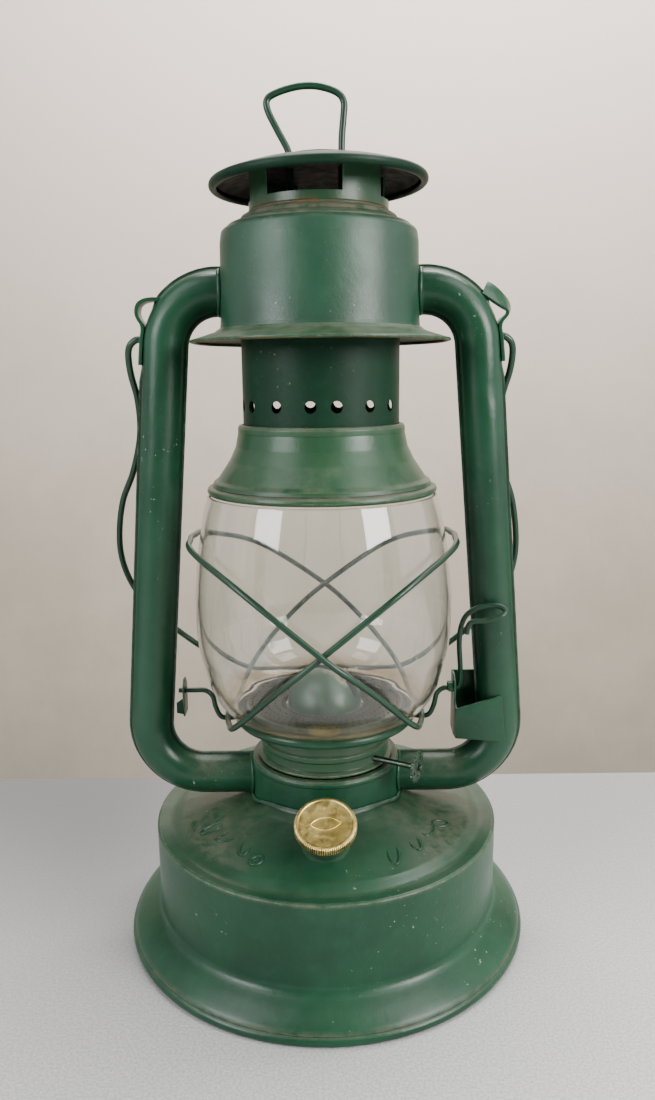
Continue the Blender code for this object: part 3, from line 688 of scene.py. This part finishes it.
def filler():
    neck = rounded([
        (8.6, 13.2), (9.2, 13.5, 0.3), (9.7, 13.2, 0.3), (9.6, 11.2, 0.2), (10.1, 10.5, 0.35),
        (9.6, 9.7, 0.3), (9.6, 8.7, 0.3), (10.1, 8.0, 0.35), (9.6, 7.2, 0.3), (9.7, 4.2, 0.5),
        (10.6, 2.6, 0.6), (10.9, -2.5)], 3)
    piece("neck", lathe(neck, 96), GREEN, ["filler_neck"], place=neck_place(), sheet=0.7,
          grime=lambda p: 0.1)

    ridges = 90

    def knurl(p):
        radius = hypot(p.x, p.y)
        if radius < 12.3:
            return p
        depth = 0.22 * step(radius, 12.3, 13.0) * cos(ridges * atan2(p.y, p.x))
        return Vector((p.x * (1 + depth / radius), p.y * (1 + depth / radius), p.z))

    cap = rounded([
        (0.0, 15.75), (11.4, 15.8, 0.4), (11.9, 16.15, 0.2), (12.5, 16.1, 0.3), (13.2, 15.5, 0.4),
        (13.2, 12.6, 0.5), (12.5, 11.5, 0.3), (11.7, 11.5, 0.2), (11.7, 15.1, 0.3), (0.0, 15.0)], 3)
    piece("screw_cap", lathe(cap, ridges * 6, shape=knurl), BRASS, ["fuel_cap"], "fuel_cap",
          place=neck_place(), sharp=50)
    lens = arc((0.0, -5.1), 8.2, 142, 38, 12)[:-1] + arc((0.0, 5.1), 8.2, -38, -142, 12)[:-1]
    lens = [neck_place() @ Vector((*(about("Z", 0.06) @ Vector((x, y, 0))).xy, 15.85)) for x, y in lens]
    wire("cap_oval", lens, 0.32, BRASS, body="fuel_cap", cyclic=True, sides=2)
    frame["nodes"]["cap_gasket"].data.materials.clear()
    frame["nodes"]["cap_gasket"].data.materials.append(CORK)


# ---- burner

def burner():
    collar = rounded([
        (31.0, 82.6), (31.6, 83.0, 0.4), (COLLAR_R - 0.9, COLLAR_TOP_Z, 0.7),
        (COLLAR_R, COLLAR_TOP_Z - 1.2, 0.7), (COLLAR_R, 80.6, 0.4), (COLLAR_R - 0.3, 80.1, 0.4),
        (COLLAR_R - 0.3, 61.4)], 4)
    piece("collar", lathe(collar, 128), GREEN, ["collar_drum"], sheet=SHEET,
          grime=lambda p: 0.35 * step(p.z, 81.5, 83.0) + 0.25 * near(p.z, 67, 5))
    ring = rounded([
        (27.6, 98.6), (29.2, 98.6, 0.5), (29.8, 97.8, 0.5), (29.8, 93.2, 0.4), (30.9, 92.4, 0.5),
        (30.9, 90.4, 0.5), (29.9, 89.6, 0.4), (29.9, 85.6, 0.5), (31.8, 84.6, 0.6), (31.8, 83.6, 0.4),
        (24.0, 83.4)], 4)
    piece("burner_body", lathe(ring, 96), GREEN_SOILED, ["burner_ring"], sheet=SHEET,
          grime=lambda p: 0.05 + 0.3 * near(p.z, 84.5, 1.5) + 0.3 * near(p.z, 92.8, 0.8))
    dome = [(0.0, BURNER_DOME_Z + BURNER_DOME_R)] + arc((0.0, BURNER_DOME_Z), BURNER_DOME_R, 86, 0, 16)
    dome += rounded([(BURNER_DOME_R, 104.0), (BURNER_DOME_R, 100.2, 1.2), (22.0, 99.6), (26.8, 98.9)], 4)
    slot = rounded([(-15.5, -2.3, 2.2), (16.6, -2.3, 2.2), (16.6, 2.3, 2.2), (-15.5, 2.3, 2.2)], 5, True)
    slot = cutter("slot_cutter", prism(turned_outline(slot), 111.4, 130.0))
    piece("flame_dome", lathe(dome, 96), DOME, ["burner_dome"], sheet=SHEET, cutters=[slot],
          grime=slot_scorch)
    width, depth = WICK_SIZE
    tube = stadium(width + 2.6, depth + 2.0)
    bore = cutter("wick_bore", prism(turned_outline(stadium(width + 1.2, depth + 0.9)), 55.0, 120.0))
    spur_window = prism(turned_outline([(-6.8, -6.0), (6.8, -6.0), (6.8, -1.0), (-6.8, -1.0)]), 83.5, 91.9)
    piece("flat_wick_tube", prism(turned_outline(tube), 62.0, 115.6), STEEL, ["wick_tube"],
          cutters=[bore, cutter("spur_window", spur_window)])
    piece("cotton_wick", wick_body(), WICK, ["wick"], "wick", bevel=0.3)


def slot_scorch(p):
    """1 where the flame dome is burnt bare, in front of the slot's right half."""
    along, across = (about("Z", -WICK_ANGLE) @ p).xy
    return min(1.0, 1.6 * near(across, -3.4, 2.4)) * step(along, 0.0, 4.0) * (1.0 - step(along, 12.0, 14.5))


def turned_outline(outline, angle=WICK_ANGLE):
    """The outline turned about Z, by default so that its X lies along the wick's width."""
    turn = about("Z", angle)
    return [tuple((turn @ Vector((x, y, 0))).xy) for x, y in outline]


def stadium(width, depth):
    half = width / 2 - depth / 2
    return arc((half, 0), depth / 2, -90, 90, 6) + arc((-half, 0), depth / 2, 90, 270, 6)


def wick_body():
    """A flat woven strip whose top is a little uneven where it was trimmed."""
    body = prism(turned_outline(stadium(*WICK_SIZE)), 24.0, 120.3)
    for vert in body.verts:
        if vert.co.z > 100:
            vert.co.z += 0.25 * sin(vert.co.x * 1.7) + 0.15 * sin(vert.co.x * 4.1)
    return body


def wheel():
    turn = about("Z", WICK_ANGLE) @ about("Y", pi / 2)
    foot = about("Z", WICK_ANGLE) @ Vector((0, -SHAFT_OFFSET, 0))
    place = at(foot.x, foot.y, SHAFT_Z, turn)
    shaft = rounded([(0.0, 52.4), (1.5, 52.4, 0.4), (1.5, 50.8), (2.3, 50.8, 0.2), (2.3, 49.2, 0.2),
                     (1.35, 49.0), (1.35, 6.2), (1.35, -9.0, 0.3), (0.0, -9.0)], 3)
    piece("wick_shaft", lathe(shaft, 32), STEEL, ["wick_wheel"], "wick_wheel", place=place)
    spots = [place @ at(*spot, 50) for spot in toothed([4.3] * 5)]
    piece("thumb_wheel", prism(toothed([7.0, 7.0, 6.3, 6.3] * 20), 49.5, 50.5), GREEN_DUSTY,
          body="wick_wheel", place=place, bevel=0.15,
          cutters=[cutter("wheel_holes", rods(0.75, 4, spots, 12))])
    for name, middle in (("spur_1", -5.2), ("spur_3", 5.2)):
        piece(name, prism(toothed([3.9, 5.2] * 12), middle - 0.5, middle + 0.5), STEEL, body="wick_wheel",
              place=place)


def toothed(radii):
    """A closed outline whose points stand evenly round the centre at these radii."""
    turn = 2 * pi / len(radii)
    return [(r * cos(turn * k), r * sin(turn * k)) for k, r in enumerate(radii)]


# ---- globe and its carrier

def perforated_deck(inner, outer, rows, sectors, hole, z_inner, z_outer):
    """A ring of cells, each an eight-sided hole in its own quadrilateral."""
    body = bmesh.new()

    def height(r):
        return z_inner + (z_outer - z_inner) * (r - inner) / (outer - inner)

    for row in range(rows):
        low = inner + (outer - inner) * row / rows
        high = inner + (outer - inner) * (row + 1) / rows
        for sector in range(sectors):
            a0 = 2 * pi * (sector + 0.5 * (row % 2)) / sectors
            a1 = a0 + 2 * pi / sectors
            mid_a, mid_r = (a0 + a1) / 2, (low + high) / 2
            mid_x, mid_y = mid_r * cos(mid_a), mid_r * sin(mid_a)
            edge = [(low, a0), (low, mid_a), (low, a1), (mid_r, a1), (high, a1), (high, mid_a), (high, a0),
                    (mid_r, a0)]
            rim = []
            loop = []
            for k, (r, a) in enumerate(edge):
                rim.append(body.verts.new((r * cos(a), r * sin(a), height(r))))
                out = Vector((r * cos(a) - mid_x, r * sin(a) - mid_y)).normalized() * hole
                x, y = mid_x + out.x, mid_y + out.y
                loop.append(body.verts.new((x, y, height(hypot(x, y)))))
            for k in range(8):
                n = (k + 1) % 8
                body.faces.new([rim[k], loop[k], loop[n], rim[n]])
    bmesh.ops.remove_doubles(body, verts=body.verts, dist=0.002)
    bmesh.ops.recalc_face_normals(body, faces=body.faces)
    if sum(face.normal.z for face in body.faces) < 0:
        bmesh.ops.reverse_faces(body, faces=body.faces)
    return body


def globe_carrier():
    rim = rounded([(DECK_R[1], 109.0), (37.2, 108.9, 0.6), (38.1, 107.6, 0.6),
                   (38.3, PLATE_BEAD_Z + BEAD, 0.5)], 3)
    rim += arc((PLATE_BEAD_R, PLATE_BEAD_Z), BEAD, 92, -110, 14) + [(38.8, 101.4), (38.2, 102.2)]
    piece("plate", lathe(rim, 128), GREEN, ["globe_plate"], "globe_carrier", sheet=SHEET,
          grime=lambda p: 0.9 * step(p.z, 105.6, 106.6))
    deck = perforated_deck(*DECK_R, 5, 60, 0.62, 107.8, 109.0)
    piece("deck", deck, DECK, body="globe_carrier", sheet=0.5,
          grime=lambda p: 0.15 + 0.7 * step(hypot(p.x, p.y), 32.5, 35.5))

    foot = PLATE_BEAD_Z + BEAD + 0.3
    side = smooth_path([
        (51.2, 207.9), (52.4, 203.6), (54.4, 195.0), (57.1, 178.5), (58.7, 158.0), (58.0, 139.5),
        (55.9, 130.0), (53.0, 119.0), (48.6, 111.3), (44.6, 108.0), (42.0, foot)], 5)
    piece("glass_globe", lathe(side, 160), GLASS_LOOK, ["globe"], "globe_carrier",
          sheet=GLASS, bevel=0.35, sharp=80)

    for name, side, crossing in (("guard_left", -1, 64.0), ("guard_right", 1, 60.8)):
        front = [(59.5, -6), (55.6, -25), (33.0, -51.5), (0.0, -crossing), (-20.0, -57.5), (-37.5, -44.0),
                 (-43.6, -17.0), (-45.6, -5.0)]
        heights = [187.6, 185.6, 174.5, 150.2, 133.0, 114.0, 103.4, 103.0]
        half = [(side * x, y, z) for (x, y), z in zip(front, heights)]
        back = [(x, -y, z) for x, y, z in reversed(half)]
        wire(name, smooth_path(half + back, 8, cyclic=True), GUARD_WIRE_R, GREEN_WIRE,
             ["guard_wire_left" if side < 0 else "guard_wire_right"], "globe_carrier", cyclic=True)


def lever():
    z = LIFT_PIVOT_Z
    crank = [(56.5, 0, z - 0.2), (53.2, 0, z - 3.0), (51.9, 0, z - 8.5), (49.6, 0, z - 13.2),
             (45.5, 1.5, CRANK_Z), (39.0, 5.0, CRANK_Z), (36.0, 8.0, CRANK_Z + 2.0)]
    yoke = [(x, y, YOKE_Z) for x, y in arc((0, 0), YOKE_R, 156, 24, 8)]
    loop = [
        (62.4, 0, z), (63.9, -0.2, z + 2.4), (63.8, -2.0, z + 10), (62.4, -6.2, z + 23),
        (62.4, -9.4, z + 32), (64.4, -11.4, z + 38.4), (69.1, -12.0, z + 42), (75.0, -12.2, z + 43.2),
        (79.6, -12.8, z + 42.8), (81.6, -14.4, z + 41.2), (79.4, -16.4, z + 39.4), (72.2, -17.0, z + 37.6),
        (66.6, -17.0, z + 37.2), (64.6, -16.8, z + 35.2), (64.0, -16.4, z + 31.4)]
    left = [(-69.0, 0, z), (-61.5, 0, z)] + [(-x, y, h) for x, y, h in crank]
    path = left + yoke + crank[::-1] + loop
    wire("lever_wire", smooth_path(path, 6), LIFT_WIRE_R, GREEN_WIRE, ["lift_lever"], "lift_lever")


def brackets():
    """The sheet brackets on the side tubes that the lever turns in."""
    z = LIFT_PIVOT_Z
    facing = about("X", pi / 2)
    upright = about("Z", pi / 2) @ facing

    def plate(name, outline, place, replaces=(), finish=GREEN, half=0.4, bevel=0.2, cutters=()):
        piece(name, prism(outline, -half, half), finish, replaces, place=place, bevel=bevel,
              cutters=cutters)

    flange = rounded([
        (LATCH_FACE_Y, z - 21.5), (-2.0, z - 22.8, 1.0), (LATCH_BACK_Y, z - 21.5), (LATCH_BACK_Y, z + 6.8),
        (0.2, z + 6.8, 2.0), (-3.6, z + 4.6, 2.0), (-4.4, z - 5.4, 1.5), (LATCH_FACE_Y, z - 6.8)], 4, True)
    hole = cross_hole("latch_hole", JOURNAL_HOLE_R, LATCH_X, z)
    plate("latch_flange", flange, at(LATCH_X, 0, 0, upright), ["right_latch_bracket"], cutters=[hole])
    face = rounded([(60.8, z - 21.5, 0.8), (84.2, z - 23.4, 1.5), (82.0, z - 0.4, 1.2),
                    (60.8, z - 6.8, 0.8)], 4, True)
    plate("latch_face", face, at(0, LATCH_FACE_Y - 0.2, 0, facing), bevel=0.25)
    back = [(60.8, z - 21.5), (75.2, z - 21.5), (72.9, z + 6.8), (60.8, z + 6.8)]
    plate("latch_back", back, at(0, LATCH_BACK_Y - 0.4, 0, facing))
    curl = arc((0, z), 3.2, -50, 200, 16) + arc((0, z), 2.4, 200, -50, 16)
    plate("latch_curl", curl, at(59.8, 0, 0, upright), half=1.5)
    flange = rounded([(-4.6, z - 11.6, 1.0), (4.6, z - 11.6, 1.0), (5.2, z + 2.0, 1.5), (2.0, z + 6.2, 2.0),
                      (-2.0, z + 6.2, 2.0), (-5.2, z + 2.0, 1.5)], 4, True)
    hole = cross_hole("guide_hole", JOURNAL_HOLE_R, GUIDE_X, z)
    plate("guide_flange", flange, at(GUIDE_X, 0, 0, upright), ["left_guide_bracket"], cutters=[hole])
    web = [(-69.6, z - 9.6), (-66.0, z - 10.4), (-66.0, z - 2.0), (-69.6, z - 4.6)]
    # The web takes the darker copy of the paint: painted shade.
    plate("guide_web", web, at(0, -4.4, 0, facing), finish=GREEN_SHADED)


# ---- side tubes, ears and bail

def tube_path(side):
    """Centreline of a side tube from canopy to collar: (distance from the axis, z, direction)."""
    line_x, slope = TUBE_LINE[side]

    def straight(z):
        return line_x + (TUBE_LINE_Z - z) * tan(slope)

    out_x, down = sin(slope), cos(slope)
    top_end_z = TUBE_TOP_Z - TUBE_TOP_BEND + TUBE_TOP_BEND * out_x
    top_x = straight(top_end_z) - TUBE_TOP_BEND * down
    low_end_z = TUBE_LOW_Z + TUBE_LOW_BEND + TUBE_LOW_BEND * out_x
    low_x = straight(low_end_z) - TUBE_LOW_BEND * down
    first = acos((CANOPY_R - 0.6 - top_x) / TUBE_TOP_BEND)
    points = []
    for i in range(25):
        a = first + (slope - first) * i / 24
        points.append((top_x + TUBE_TOP_BEND * cos(a), TUBE_TOP_Z - TUBE_TOP_BEND * (1 - sin(a)), a))
    for i in range(1, 32):
        z = top_end_z + (low_end_z - top_end_z) * i / 32
        points.append((straight(z), z, slope))
    for i in range(19):
        a = slope - (slope + pi / 2) * i / 18
        points.append((low_x + TUBE_LOW_BEND * cos(a), TUBE_LOW_Z + TUBE_LOW_BEND * (1 + sin(a)), a))
    points.append((COLLAR_R - 0.8, TUBE_LOW_Z, -pi / 2))
    return points


def tube_half(side, face):
    edge = 0.55
    section = [(TUBE_FIN, 0.12), (TUBE_FIN, edge), (TUBE_R + 0.5, edge + 0.1)]
    section += arc((0, 0), TUBE_R, 9, 171, 16)
    section += [(-TUBE_R - 0.5, edge + 0.1), (-TUBE_FIN, edge), (-TUBE_FIN, 0.12)]
    body = bmesh.new()
    rings = []
    for x, z, a in tube_path(side):
        fin = 1.0 - step(z, EAR_Z[0] - 3, EAR_Z[0] + 3) * (1.0 - step(z, EAR_Z[1] - 2, EAR_Z[1] + 2))
        ring = []
        for out, depth in section:
            if out > TUBE_R + 0.2:
                out = TUBE_R + 0.1 + (out - TUBE_R - 0.1) * fin
            ring.append(body.verts.new((side * (x + out * cos(a)), face * depth, z + out * sin(a))))
        rings.append(ring)
    for ring, following in zip(rings, rings[1:]):
        for i in range(len(section) - 1):
            corners = [ring[i], ring[i + 1], following[i + 1], following[i]]
            body.faces.new(corners if side * face < 0 else corners[::-1])
    return body


def dent(p, centre, radius, depth):
    """Pushes the wall in round centre."""
    away = (p - Vector(centre)).length
    push = depth * exp(-(away / radius) ** 2)
    return Vector((p.x, p.y + push, p.z))


def side_tubes():
    dents = {-1: ((-79.0, -8.0, 231.0), 5.0, 0.7), 1: ((75.6, -8.0, 252.0), 4.5, 0.8)}
    for side, side_name in ((-1, "left"), (1, "right")):
        for face, face_name in ((-1, "front"), (1, "back")):
            body = tube_half(side, face)
            if face < 0:
                for vert in body.verts:
                    vert.co = dent(vert.co, *dents[side])
            name = "tube_%s_%s" % (side_name, face_name)
            piece(name, body, GREEN, ["side_" + name], sheet=0.45,
                  grime=lambda p: 0.55 * near(abs(p.x), 50, 18) * step(p.z, 70, 80) * (p.z < 100))
        for tag, drum, z in (("top", CANOPY_R, DUCT_TOP_Z), ("foot", COLLAR_R, TUBE_LOW_Z)):
            ring = []
            for k in range(40):
                y = (TUBE_R + 0.2) * cos(pi * k / 20)
                x = sqrt((drum + 0.2) ** 2 - y * y)
                ring.append((side * x, y, z + (TUBE_R + 0.2) * sin(pi * k / 20)))
            wire("solder_%s_%s" % (tag, side_name), ring, SOLDER_R, GREEN, cyclic=True, sides=3)


def band(line, width, thickness, twist):
    """A flat strip along points of the XZ plane; twist turns its outer face to the front, per point."""
    body = bmesh.new()
    rings = []
    for i, point in enumerate(line):
        along = (line[min(i + 1, len(line) - 1)] - line[max(i - 1, 0)]).normalized()
        turn = Matrix.Rotation(twist(i / (len(line) - 1)), 3, along)
        out = turn @ Vector((-along.z, 0, along.x)) * thickness / 2
        across = turn @ Vector((0, 1, 0)) * width / 2
        corners = ((1, 1), (1, -1), (-1, -1), (-1, 1))
        rings.append([body.verts.new(point + a * out + b * across) for a, b in corners])
    for ring, following in zip(rings, rings[1:]):
        for i in range(4):
            k = (i + 1) % 4
            body.faces.new([ring[i], ring[k], following[k], following[i]])
    body.faces.new(rings[0])
    body.faces.new(rings[-1][::-1])
    bmesh.ops.recalc_face_normals(body, faces=body.faces)
    return body


def ears():
    """Strips soldered to the elbows and bent outwards; the right one is sprung open and twisted."""
    foot = [(76.7, 279.0), (77.3, 275.8), (77.7, 272.5), (78.2, 268.0), (78.5, 264.6)]
    bends = ((-1, "left_ear", [(68.6, 292.1), (72.4, 292.2), (75.8, 291.6), (78.2, 289.9), (79.0, 287.0),
                               (78.4, 284.4), (76.9, 281.8)]),
             (1, "right_ear", [(71.0, 295.6), (73.4, 294.2), (76.8, 291.6), (80.2, 288.6), (81.4, 286.2),
                               (80.8, 284.2), (78.4, 281.8)]))
    for side, name, bend in bends:
        points = bend + [(x + (RIGHT_OUT if side > 0 else 0.0), z) for x, z in foot]
        line = smooth_path([(side * x, 0, z) for x, z in points], 4)
        hole = cross_hole(name + "_hole", BAIL_WIRE_R + 0.35, side * BAIL_END_X, BAIL_PIVOT_Z)
        strip = band(line, 8.0, 1.5, lambda t: 0.9 * (1 - step(t, 0.1, 0.55)) if side > 0 else 0.0)
        piece(name + "_strip", strip, GREEN, [name], bevel=0.25, cutters=[hole])


def bail():
    half = [
        (BAIL_END_X, 0.0), (80.6, 0.2), (83.6, 3.0), (84.6, 8.0), (84.2, 16.0), (82.2, 28.0), (82.4, 44.0),
        (86.8, 62.0), (93.4, 78.0), (97.2, 96.0), (97.8, 111.0), (94.6, 126.0), (86.4, 142.0),
        (75.2, 154.0), (64.6, 164.0), (54.0, 171.6), (41.0, 178.2), (22.0, 179.6), (0.0, 178.4)]
    flat = [(-x, d) for x, d in half] + list(reversed(half[1:-1])) + [(BAIL_END_X + RIGHT_OUT, 0.0)]
    flat = [(x - BAIL_SKEW * sin(pi * d / BAIL_DROP) ** 2, d) for x, d in flat]
    path = [(x, d * sin(BAIL_LEAN), BAIL_PIVOT_Z - d * cos(BAIL_LEAN)) for x, d in flat]
    wire("bail_wire", smooth_path(path, 6), BAIL_WIRE_R, GREEN_WIRE, ["bail"], "bail", sides=5)


# ---- crown

def crown():
    bell = rounded([
        (34.9, 238.6), (36.4, 238.4, 0.5), (37.0, 237.2, 0.7), (37.0, 235.0, 1.0), (38.2, 229.0, 6.0),
        (41.0, 223.0, 8.0), (46.4, 215.0, 4.0), (48.5, 213.6, 1.2), (48.7, 211.8, 0.6), (51.0, 211.2, 0.9),
        (51.4, 209.6, 0.8), (50.6, 208.4, 0.6), (46.8, 208.2)], 5)
    piece("bell", lathe(bell, 144), GREEN_DUSTY, ["crown_bell"], "crown", sheet=SHEET,
          grime=lambda p: 0.5 * near(p.z, 211.6, 1.6) + 0.4 * near(p.z, 238, 1.5),
          rust=lambda p: 0.5 * near(p.z, 208.6, 0.8))
    places = []
    for degrees in SLEEVE_HOLE_ANGLES:
        a = radians(degrees - 90)
        places.append(at(SLEEVE_R * cos(a), SLEEVE_R * sin(a), SLEEVE_HOLE_Z,
                         about("Z", a) @ about("Y", pi / 2)))
    sleeve = rounded([(SLEEVE_R - 0.6, 290.4), (SLEEVE_R, 290.0, 0.4), (SLEEVE_R, 270.0), (SLEEVE_R, 254.0),
                      (SLEEVE_R, 240.0), (SLEEVE_R, 234.0)], 3)
    # The sleeve takes the darker copy of the paint: painted shade under the canopy flange.
    piece("sleeve", lathe(sleeve, 144), GREEN_SHADED, ["crown_sleeve"], "crown", sheet=SHEET,
          cutters=[cutter("sleeve_drills", rods(SLEEVE_HOLE_R, 8, places))])
    piece("strap", flat_bar(SLEEVE_R - 0.7, STRAP_Z), TIN, ["crown_strap"], "crown", bevel=0.2)

    left, right = LOOP_LEGS_X
    bow = [
        (left, 0, 346.0), (-12.6, 0, 351.6), (-16.8, 0, 359.5), (-20.6, 0, 367.0), (-20.9, 0, 371.2),
        (-17.6, 0, 373.6), (-10.8, 0, 375.7), (-4.4, 0, 376.5), (2.0, 0, 375.9), (8.4, 0, 373.6),
        (10.9, 0, 370.0), (10.7, 0, 364.5), (10.0, 0, 357.0), (right, 0, 350.0)]
    path = [(left, 0, STRAP_Z - 2.0), (left, 0, 300.0)] + smooth_path(bow, 6) + [(right, 0, 300.0)]
    path.append((right, 0, STRAP_Z - 2.0))
    wire("loop_wire", path, LOOP_WIRE_R, GREEN_WIRE, ["finger_loop"], "crown", sides=5)


def flat_bar(reach, z):
    """A flat cross bar with rounded corners."""
    half, thick = STRAP_HALF
    outline = rounded([(-reach, -half, 1.0), (reach, -half, 1.0), (reach, half, 1.0), (-reach, half, 1.0)],
                      3, True)
    return prism(outline, z - thick, z + thick)


def springs():
    """Each spring is two coils end to end, a lower and an upper one, each left in place on no body; in
    the lantern the lower one shortens as the crown is raised, the upper one as the globe is lifted."""
    low, high = SPRING_Z
    middle = (low + high) / 2
    turns, per_turn = 5, 20
    for side, x in zip(("left", "right"), LOOP_LEGS_X):
        for tag, start, end, a, b in (("lower", low + 0.5, middle, "crown", "globe_carrier"),
                                      ("upper", middle, high - 0.5, "globe_carrier", "frame")):
            coil = []
            for i in range(turns * per_turn + 1):
                angle = 2 * pi * i / per_turn
                coil.append((x + SPRING_R * cos(angle), SPRING_R * sin(angle),
                             start + (end - start) * i / (turns * per_turn)))
            made = wire("spring_%s_%s" % (side, tag), coil, SPRING_WIRE_R, SPRING, sides=1)
            made.parent = None
            del made["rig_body"]
            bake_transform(made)
            if tag == "lower":
                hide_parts("crown_spring_" + side)


# ---- canopy and hood

def canopy():
    drum = rounded([
        (30.2, 326.2), (33.0, 324.6, 0.8), (34.0, 323.0, 0.8), (38.9, 321.0, 0.7), (39.3, 320.2, 0.5),
        (41.6, 319.0, 2.4), (42.3, 314.0, 4.0), (42.5, 300.0), (CANOPY_R - 0.2, 284.0),
        (CANOPY_R, 280.6, 0.5), (CANOPY_R + 0.3, 279.4, 0.4), (CANOPY_R + 0.1, 277.6)], 5)
    piece("canopy", lathe(drum, 144), GREEN_SATIN, ["canopy_drum"], sheet=SHEET,
          grime=lambda p: 0.6 * step(p.z, 318.5, 323), rust=lambda p: 0.6 * step(p.z, 324.6, 326.2))
    flange = rounded([(CANOPY_R + 0.5, 279.4), (46.0, 277.8, 3.0), (54.6, 275.0, 1.0), (56.4, 274.6, 0.5),
                      (56.5, 273.6, 0.5), (55.0, 273.2)], 4)
    piece("flange", lathe(flange, 144), GREEN_DUSTY, ["canopy_flange"], sheet=SHEET, grime=lambda p: 0.08,
          rust=lambda p: 0.9 * (1 - step(p.z, 273.2, 274.0)))

    windows = []
    for angle, half in WINDOWS:
        side = NECK_CUP_R * sin(half)
        outline = turned_outline([(-45, -side), (45, -side), (45, side), (-45, side)], angle)
        windows.append(cutter("window", prism(outline, WINDOW_SILL_Z, WINDOW_SILL_Z + 20)))
    cup = rounded([
        (NECK_CUP_R, 343.0), (NECK_CUP_R, 336.0), (NECK_CUP_R, 331.0), (NECK_CUP_R, 327.0, 0.4),
        (NECK_CUP_R + 0.7, 326.4, 0.4), (NECK_CUP_R + 0.7, 325.4, 0.4), (NECK_CUP_R, 324.8, 0.4),
        (NECK_CUP_R, 318.0)], 4)
    piece("cup", lathe(cup, 120), GREEN_DUSTY, ["neck_cup"], sheet=SHEET, cutters=windows,
          rust=lambda p: near(p.z, 326.0, 1.4))
    piece("chimney",
          lathe([(CHIMNEY_R - 0.4, 326.2), (CHIMNEY_R, 325.8), (CHIMNEY_R, 300.0), (CHIMNEY_R, 286.8)], 96),
          SOOTY, ["inner_chimney"], sheet=SHEET)
    legs = cutter("leg_holes", rods(LOOP_WIRE_R + 0.35, 60, [at(x, 0, 335) for x in LOOP_LEGS_X]))
    piece("guide", flat_bar(CHIMNEY_R - 1.2, SPRING_Z[1] + 0.9), SOOTY, ["guide_bar"], bevel=0.2,
          cutters=[legs])

    place = at(0, 0, HOOD_Z, about("Y", HOOD_TILT))
    top = [(0.0, 8.2), (18.0, 7.7), (28.0, 6.7), (36.0, 5.0), (41.0, 3.4), (43.6, 2.4)]
    top += arc((44.2, 0.2), 2.0, 72, -120, 12) + [(42.9, -0.9)]
    # The hood top takes the darker copy of the paint: painted shade.
    piece("hood_top", lathe(top, 144), GREEN_SHADED, ["hood"], place=place, sheet=SHEET, cutters=[legs],
          grime=lambda p: 0.25 * near(hypot(p.x, p.y), 22, 5))
    lining = [(42.6, 0.75), (40.0, 2.75), (30.0, 5.25), (20.0, 6.35), (0.0, 6.95)]
    piece("hood_lining", lathe(lining, 96), SOOTY, place=place, sheet=0.1, cutters=[legs])
    disc = rounded([(0.0, 10.2), (17.4, 9.9, 2.0), (19.4, 9.3, 0.7), (20.0, 8.2, 0.5), (18.4, 8.0),
                    (0.0, 8.5)], 4)
    piece("raised_disc", lathe(disc, 96), GREEN_TOP, ["hood_disc"], place=place, cutters=[legs])


# ---- surroundings

def surroundings():
    """Table, far wall, lights and camera."""
    def backdrop(name, finish, corners):
        mesh = bpy.data.meshes.new(name)
        mesh.from_pydata(corners, [], [(0, 1, 2, 3)])
        mesh.materials.append(finish)
        return in_scene(name, mesh)

    table_top = backdrop("table_top", table_grey("table_grey"), [
        (-1.6, -1.4, 0), (1.6, -1.4, 0), (1.6, FLOOR_BACK_Y, 0), (-1.6, FLOOR_BACK_Y, 0)])
    far_wall = backdrop("far_wall", wall_paint("wall_paint"), [
        (-4.0, WALL_Y, -3.0), (4.0, WALL_Y, -3.0), (4.0, WALL_Y, 4.0), (-4.0, WALL_Y, 4.0)])

    world = bpy.data.worlds.new("studio")
    bpy.context.scene.world = world
    world.use_nodes = True
    background = world.node_tree.nodes["Background"].inputs
    background["Color"].default_value = (0.98, 0.98, 1.0, 1.0)
    background["Strength"].default_value = 0.17

    # name, place, aim, width, height, watts, colour
    above, middle, low = (0, 0, 0.2), (0, 0, 0.15), (0, 0, 0.1)
    softboxes = (
        ("window_right", (1.06, -0.83, 0.62), above, 0.62, 0.50, 25, (1.0, 0.99, 0.97)),
        ("window_left", (-1.06, -0.83, 0.62), above, 0.62, 0.50, 15, (0.95, 0.98, 1.0)),
        ("side_right", (1.35, 0.05, 0.55), above, 1.1, 1.0, 4.5, (0.97, 0.99, 1.0)),
        ("side_left", (-1.35, 0.05, 0.55), above, 1.1, 1.0, 2.5, (0.95, 0.98, 1.0)),
        ("top_right", (0.95, -0.55, 1.40), middle, 0.9, 0.9, 15, (1.0, 0.99, 0.97)),
        ("top_left", (-0.95, -0.55, 1.40), middle, 0.9, 0.9, 10, (0.97, 0.99, 1.0)),
        ("top_back", (0, 0.9, 1.7), low, 1.2, 0.8, 7, (1.0, 1.0, 1.0)),
        ("wall_wash", (0.5, 0.9, 2.6), (0.35, WALL_Y, 0.6), 2.4, 0.8, 185, (1.0, 0.985, 0.96)))
    for name, place, aim, width, height, watts, colour in softboxes:
        data = bpy.data.lights.new(name, "AREA")
        data.shape = "RECTANGLE"
        data.size = width
        data.size_y = height
        data.energy = watts
        data.color = colour
        light = in_scene(name, data)
        light.location = place
        light.rotation_euler = (Vector(aim) - Vector(place)).to_track_quat("-Z", "Y").to_euler()

    camera = in_scene("camera", bpy.data.cameras.new("camera"))
    camera.data.lens = CAMERA_LENS
    camera.matrix_world = (Matrix.Translation(CAMERA_PLACE) @ Matrix.Rotation(CAMERA_TILT, 4, "X")
                           @ Matrix.Rotation(CAMERA_ROLL, 4, "Z"))
    camera.data.clip_start = 0.01
    bpy.context.scene.camera = camera


fount()
filler()
burner()
wheel()
globe_carrier()
lever()
brackets()
side_tubes()
ears()
bail()
crown()
springs()
canopy()
surroundings()
for tool in CUTTERS:
    bpy.data.objects.remove(tool, do_unlink=True)
